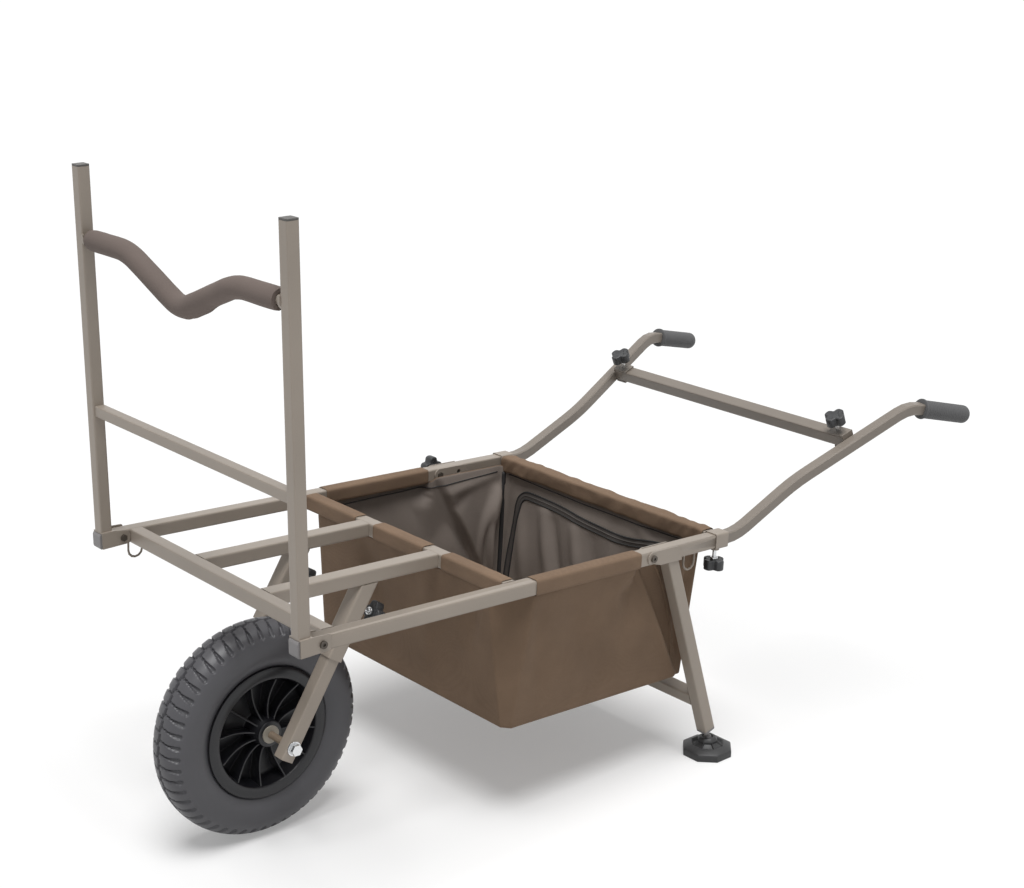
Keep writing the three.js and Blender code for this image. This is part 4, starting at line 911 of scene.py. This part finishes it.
# the rim: turned hub, web, barrel and lips, with twelve fins on each face; half is (across, radius) in mm
rimShape = {
    "half": [(43, 11.4), (43.6, 12), (43.6, 22), (42.6, 23.4), (39, 23.6), (38, 24.2), (8, 27), (3.4, 28.5),
             (2.6, 31), (2.6, 86), (4.5, 91), (9, 94), (36, 98), (39.4, 99.2), (40.6, 101), (41.6, 107),
             (41.8, 113), (41, 117), (39, 119.4), (36.6, 119.6), (35, 118.6), (34, 116.5), (33.4, 113.6)],
    "steps": 144, "fins": 12, "firstFin": 19, "finThick": 2.8, "finRound": 0.7,
    "finEdge": [(1.5, 96.5), (38.6, 98), (36.4, 92), (31, 80), (27, 68), (25, 58), (25, 46), (27, 36), (30, 29),
                (33, 24), (1.5, 24)],
}


def buildRim():
    look = rimShape
    half, thick = look["half"], look["finThick"] / 1000
    barrel = turnOnX("wheelRim", half + [(-x, r) for x, r in reversed(half)], look["steps"], True)
    fin = drawLine([Vector((across, 0, radius)) / 1000 for across, radius in look["finEdge"]])
    selectMesh()
    bpy.ops.mesh.edge_face_add()
    extrudeBy(0, thick, 0)
    selectMesh()
    bpy.ops.transform.translate(value=(0, -thick / 2, 0))
    endEdit()
    applyModifier(fin, "BEVEL", width=look["finRound"] / 1000, segments=2)
    pieces = [barrel]
    for face in (0, 1):
        for k in range(look["fins"]):
            angle = math.radians(look["firstFin"] + 360 * k / look["fins"])
            copy = addObject("fin", fin.data.copy())
            turn = Matrix.Rotation(angle - math.pi / 2, 4, "X")
            if face:
                turn = turn @ Matrix.Rotation(math.pi, 4, "Z")
            copy.data.transform(turn)
            pieces.append(copy)
    bpy.data.objects.remove(fin)
    rim = joinPieces(pieces, "wheelRim")
    settle(rim, Vector(bed["axle"]))
    smoothBy(rim, 40)
    dress(rim, "rimPlastic")
    return rim


rim = buildRim()
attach(rim, "wheel")
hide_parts("wheel_rim")
print("rim made")

# clamp knobs: a lobed plastic head on a zinc stud with a plain collar
knobShape = {
    "radius": 17.6, "lobe": 3.6, "hollow": 2.4, "low": 18.6, "high": 37.4, "points": 72,
    "lip": 3.5, "dishEdge": 3, "dishDepth": 0.8, "round": 2, "stud": 3.9, "studInHead": 1, "studRound": 0.4,
    "collar": 7.2, "collarThick": 4.5, "collarDrop": 2, "collarRound": 0.6,
}
# where each knob clamps in m, the way its head stands off, and how far its stud goes in, in mm
knobPairs = {
    "fork_knob": ((0.1012, -0.47502, 0.40575), (0, 0.84645, -0.53247), 5),
    "socket_knob": ((0.3048, 0.18474, 0.41706), (0, -0.04489, -0.99899), 8),
    "brace_knob": ((0.29894, 0.52953, 0.58088), (0, -0.39117, 0.92032), 8),
}
knobs = {name + "_" + side: ((sign * place[0], *place[1:]), axis, inside)
         for name, (place, axis, inside) in knobPairs.items() for side, sign in bothSides}
knobs["leg_lock_knob"] = ((-0.3204, 0.03219, 0.44373), (-1, 0, 0), 2)


def buildKnobHead():
    look = knobShape
    outline = []
    for k in range(look["points"]):
        angle = math.tau * k / look["points"]
        hollow = ((1 - math.cos(4 * angle)) / 2) ** look["hollow"]
        radius = look["radius"] + look["lobe"] * (1 - 2 * hollow)
        outline.append(Vector((radius * math.cos(angle), radius * math.sin(angle), look["low"])) / 1000)
    head = drawLine(outline + [outline[0]])
    selectMesh()
    bpy.ops.mesh.remove_doubles(threshold=0.00001)
    bpy.ops.mesh.edge_face_add()
    extrudeBy(0, 0, (look["high"] - look["low"]) / 1000)
    endEdit()
    pickFaces(head, lambda face: abs(face.normal.z) > 0.9)
    bpy.ops.mesh.inset(thickness=look["lip"] / 1000, depth=0)
    bpy.ops.mesh.inset(thickness=look["dishEdge"] / 1000, depth=-look["dishDepth"] / 1000)
    bpy.ops.object.mode_set(mode="OBJECT")
    applyModifier(head, "BEVEL", width=look["round"] / 1000, segments=3, limit_method="ANGLE",
                  angle_limit=math.radians(50))
    dress(head, "knobPlastic")
    return head


def buildStud(inside):
    look = knobShape
    length = look["low"] + inside
    stud = addRound(24, look["stud"], length, look["low"] - length / 2 + look["studInHead"])
    applyModifier(stud, "BEVEL", width=look["studRound"] / 1000, segments=1)
    collar = addRound(32, look["collar"], look["collarThick"], look["low"] - look["collarDrop"])
    applyModifier(collar, "BEVEL", width=look["collarRound"] / 1000, segments=2)
    whole = joinPieces([stud, collar], "knobStud")
    dress(whole, "zincSteel")
    return whole


knobHead = buildKnobHead()
for name, (place, axis, inside) in knobs.items():
    head = addObject(name + "_head", knobHead.data.copy())
    knob = joinPieces([head, buildStud(inside)], "clamp_" + name)
    settle(knob, Vector(place), Vector((0, 0, 1)).rotation_difference(Vector(axis)))
    smoothBy(knob, 35)
    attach(knob, name)
    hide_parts(name)
bpy.data.objects.remove(knobHead)
print("knobs made:", len(knobs))

# grips: turned, with a flange, fine rings and a round end; outlines are (along, out) in mm
gripShape = {
    "length": 130, "radius": 18.2, "bore": 9.9, "flange": 20.4, "flangeThick": 4.5, "sides": 48,
    "flangeStart": [(0.0, -1.5), (0.6, -0.4), (1.6, 0)], "flangeEnd": [(-1.2, 0), (-0.3, -0.5), (0, -1.6)],
    "neck": [(0.4, 1.2), (1.6, 0)], "ring": [(0, 0), (0.35, -0.55), (1.1, -0.55), (1.45, 0)],
    "ringPitch": 5.2, "ringsFrom": 3, "ringsStop": 14, "endRound": 10, "endSteps": 8,
}
# the grip's outer end, and a point that its axis comes from, in mm on the bed
gripLine = {"end": (382.45, 1438, 447.85), "start": (360.25, 1278, 479.53)}


def shifted(points, across, out):
    return [(across + x, out + r) for x, r in points]


def buildGrip():
    look = gripShape
    thick, radius, flange, length = look["flangeThick"], look["radius"], look["flange"], look["length"]
    profile = [(0, look["bore"])] + shifted(look["flangeStart"], 0, flange)
    profile += shifted(look["flangeEnd"], thick, flange) + shifted(look["neck"], thick, radius)
    place = thick + look["ringsFrom"]
    while place < length - look["ringsStop"]:
        profile += shifted(look["ring"], place, radius)
        place += look["ringPitch"]
    corner = look["endRound"]
    profile += arcPoints(length - corner, radius - corner, corner, 90, 0, look["endSteps"])
    profile += [(length, 0.01)]
    return turnOnX("grip", profile, look["sides"], False)


for side, sign in bothSides:
    grip = buildGrip()
    far, near = [onBed(sign * x, y, z) for x, y, z in (gripLine["end"], gripLine["start"])]
    direction = (far - near).normalized()
    settle(grip, far - direction * gripShape["length"] / 1000, Vector((1, 0, 0)).rotation_difference(direction))
    grip.name = "gripSleeve_" + side
    recalculate(grip)
    smoothBy(grip, 45)
    dress(grip, "gripRubber")
    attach(grip, "handles")
    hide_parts("hand_grip_" + side)
print("grips made")

# mud feet: an eight-sided pad whose ridges run up between pits to the ball socket; steps are (radius, height)
footShape = {
    "place": (0.3048, 0.19004), "turn": 22.5, "sides": 8, "radius": 49.4, "edge": 11.5,
    "steps": [(48.0, 14.0), (33.0, 20.5), (20.0, 28.0), (17.4, 32.0), (14.8, 34.0), (10.8, 34.0), (9.4, 22.0)],
    "pitLow": 21.0, "pitHigh": 27.5, "pitEdge": 1.6, "pitDepth": 4.5, "round": 0.9,
}


def buildFoot():
    look = footShape
    radius, height = look["radius"], look["edge"]
    foot = addRound(look["sides"], radius, height, height / 2)
    pickFaces(foot, lambda face: face.normal.z > 0.9)
    for nextRadius, nextHeight in look["steps"]:
        if nextHeight == height:
            inset = (radius - nextRadius) * math.cos(math.pi / look["sides"])
            bpy.ops.mesh.inset(thickness=inset / 1000, depth=0)
        else:
            extrudeBy(0, 0, (nextHeight - height) / 1000)
            share = nextRadius / radius
            bpy.ops.transform.resize(value=(share, share, 1))
        radius, height = nextRadius, nextHeight
    low, high = look["pitLow"] / 1000, look["pitHigh"] / 1000
    pickFaces(foot, lambda face: low < face.center.z < high and 0.1 < face.normal.z < 0.95)
    bpy.ops.mesh.inset(thickness=look["pitEdge"] / 1000, depth=-look["pitDepth"] / 1000, use_individual=True)
    bpy.ops.object.mode_set(mode="OBJECT")
    recalculate(foot)
    applyModifier(foot, "BEVEL", width=look["round"] / 1000, segments=2, limit_method="ANGLE",
                  angle_limit=math.radians(20))
    return foot


for side, sign in bothSides:
    foot = buildFoot()
    across, back = footShape["place"]
    settle(foot, Vector((sign * across, back, 0)), Quaternion((0, 0, 1), math.radians(footShape["turn"])))
    foot.name = "mudPad_" + side
    smoothBy(foot, 30)
    dress(foot, "footPlastic")
    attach(foot, "foot_" + side)
    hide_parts("mud_foot_" + side)
print("feet made")

# the near side rail has no lashing loop at its front end, so the rail is made again without it
loopPlace = {"from": -82, "to": -38, "under": 265.2}


def buildNearRail():
    rail = addObject("nearSideRail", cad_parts["side_rail_right"].data.copy())
    recalculate(rail)
    start, end = onBed(0, loopPlace["from"], loopPlace["under"]), onBed(0, loopPlace["to"], loopPlace["under"])
    up = (onBed(0, 0, 1) - onBed(0, 0, 0)).normalized()
    bpy.context.tool_settings.mesh_select_mode = (True, False, False)
    for part in (rail.data.polygons, rail.data.edges):
        part.foreach_set("select", [False] * len(part))
    for vertex in rail.data.vertices:
        vertex.select = start.y < vertex.co.y < end.y and (vertex.co - start).dot(up) < 0
    bpy.ops.object.mode_set(mode="EDIT")
    bpy.ops.mesh.delete(type="VERT")
    selectMesh()
    bpy.ops.mesh.fill_holes(sides=0)
    endEdit()
    smoothBy(rail, 30)
    return rail


nearRail = buildNearRail()
dress(nearRail, "powderCoat")
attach(nearRail, "chassis")
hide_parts("side_rail_right")
print("near side rail made")

# studio: pale floor, white surroundings, one wide soft lamp from above and the front
studio = {
    "floorSize": 60, "floorDrop": 0.0005, "floorTone": 0.7, "floorRough": 0.9, "floorGlow": 0.27,
    "worldLight": 0.25, "sunPower": 2.8, "sunFrom": (0.19, -0.15, 0.97), "sunSpread": 36,
}


def seenDirectly(tree):
    # one where the camera sees the surface, straight or by a reflection
    rays = tree.nodes.new("ShaderNodeLightPath")
    bent = calculate(tree, "MAXIMUM", rays.outputs["Is Glossy Ray"], rays.outputs["Is Transmission Ray"])
    return calculate(tree, "MAXIMUM", rays.outputs["Is Camera Ray"], bent)


bpy.ops.object.select_all(action="DESELECT")
bpy.ops.mesh.primitive_plane_add(size=studio["floorSize"], location=(0, 0, -studio["floorDrop"]))
floor = bpy.context.object
floor.name = "studioFloor"
material, tree, shader = startMaterial("studioFloor", [studio["floorTone"]] * 3, studio["floorRough"])
setInputs(shader, {"Specular IOR Level": 0})
glow = tree.nodes.new("ShaderNodeEmission")
tree.links.new(calculate(tree, "MULTIPLY", seenDirectly(tree), studio["floorGlow"]), glow.inputs["Strength"])
both = tree.nodes.new("ShaderNodeAddShader")
tree.links.new(shader.outputs["BSDF"], both.inputs[0])
tree.links.new(glow.outputs["Emission"], both.inputs[1])
tree.links.new(both.outputs["Shader"], tree.nodes["Material Output"].inputs["Surface"])
floor.data.materials.append(material)

world = bpy.data.worlds.new("studioWorld")
scene.world = world
world.use_nodes = True
tree = world.node_tree
background = tree.nodes["Background"]
setInputs(background, {"Color": (1, 1, 1, 1)})
tree.links.new(spread(tree, seenDirectly(tree), 0, 1, studio["worldLight"], 1.0), background.inputs["Strength"])

lampData = bpy.data.lights.new("keyLamp", "SUN")
lampData.energy = studio["sunPower"]
lampData.angle = math.radians(studio["sunSpread"])
lamp = addObject("keyLamp", lampData)
lamp.rotation_mode = "QUATERNION"
lamp.rotation_quaternion = Vector(studio["sunFrom"]).to_track_quat("Z", "Y")
print("studio set")
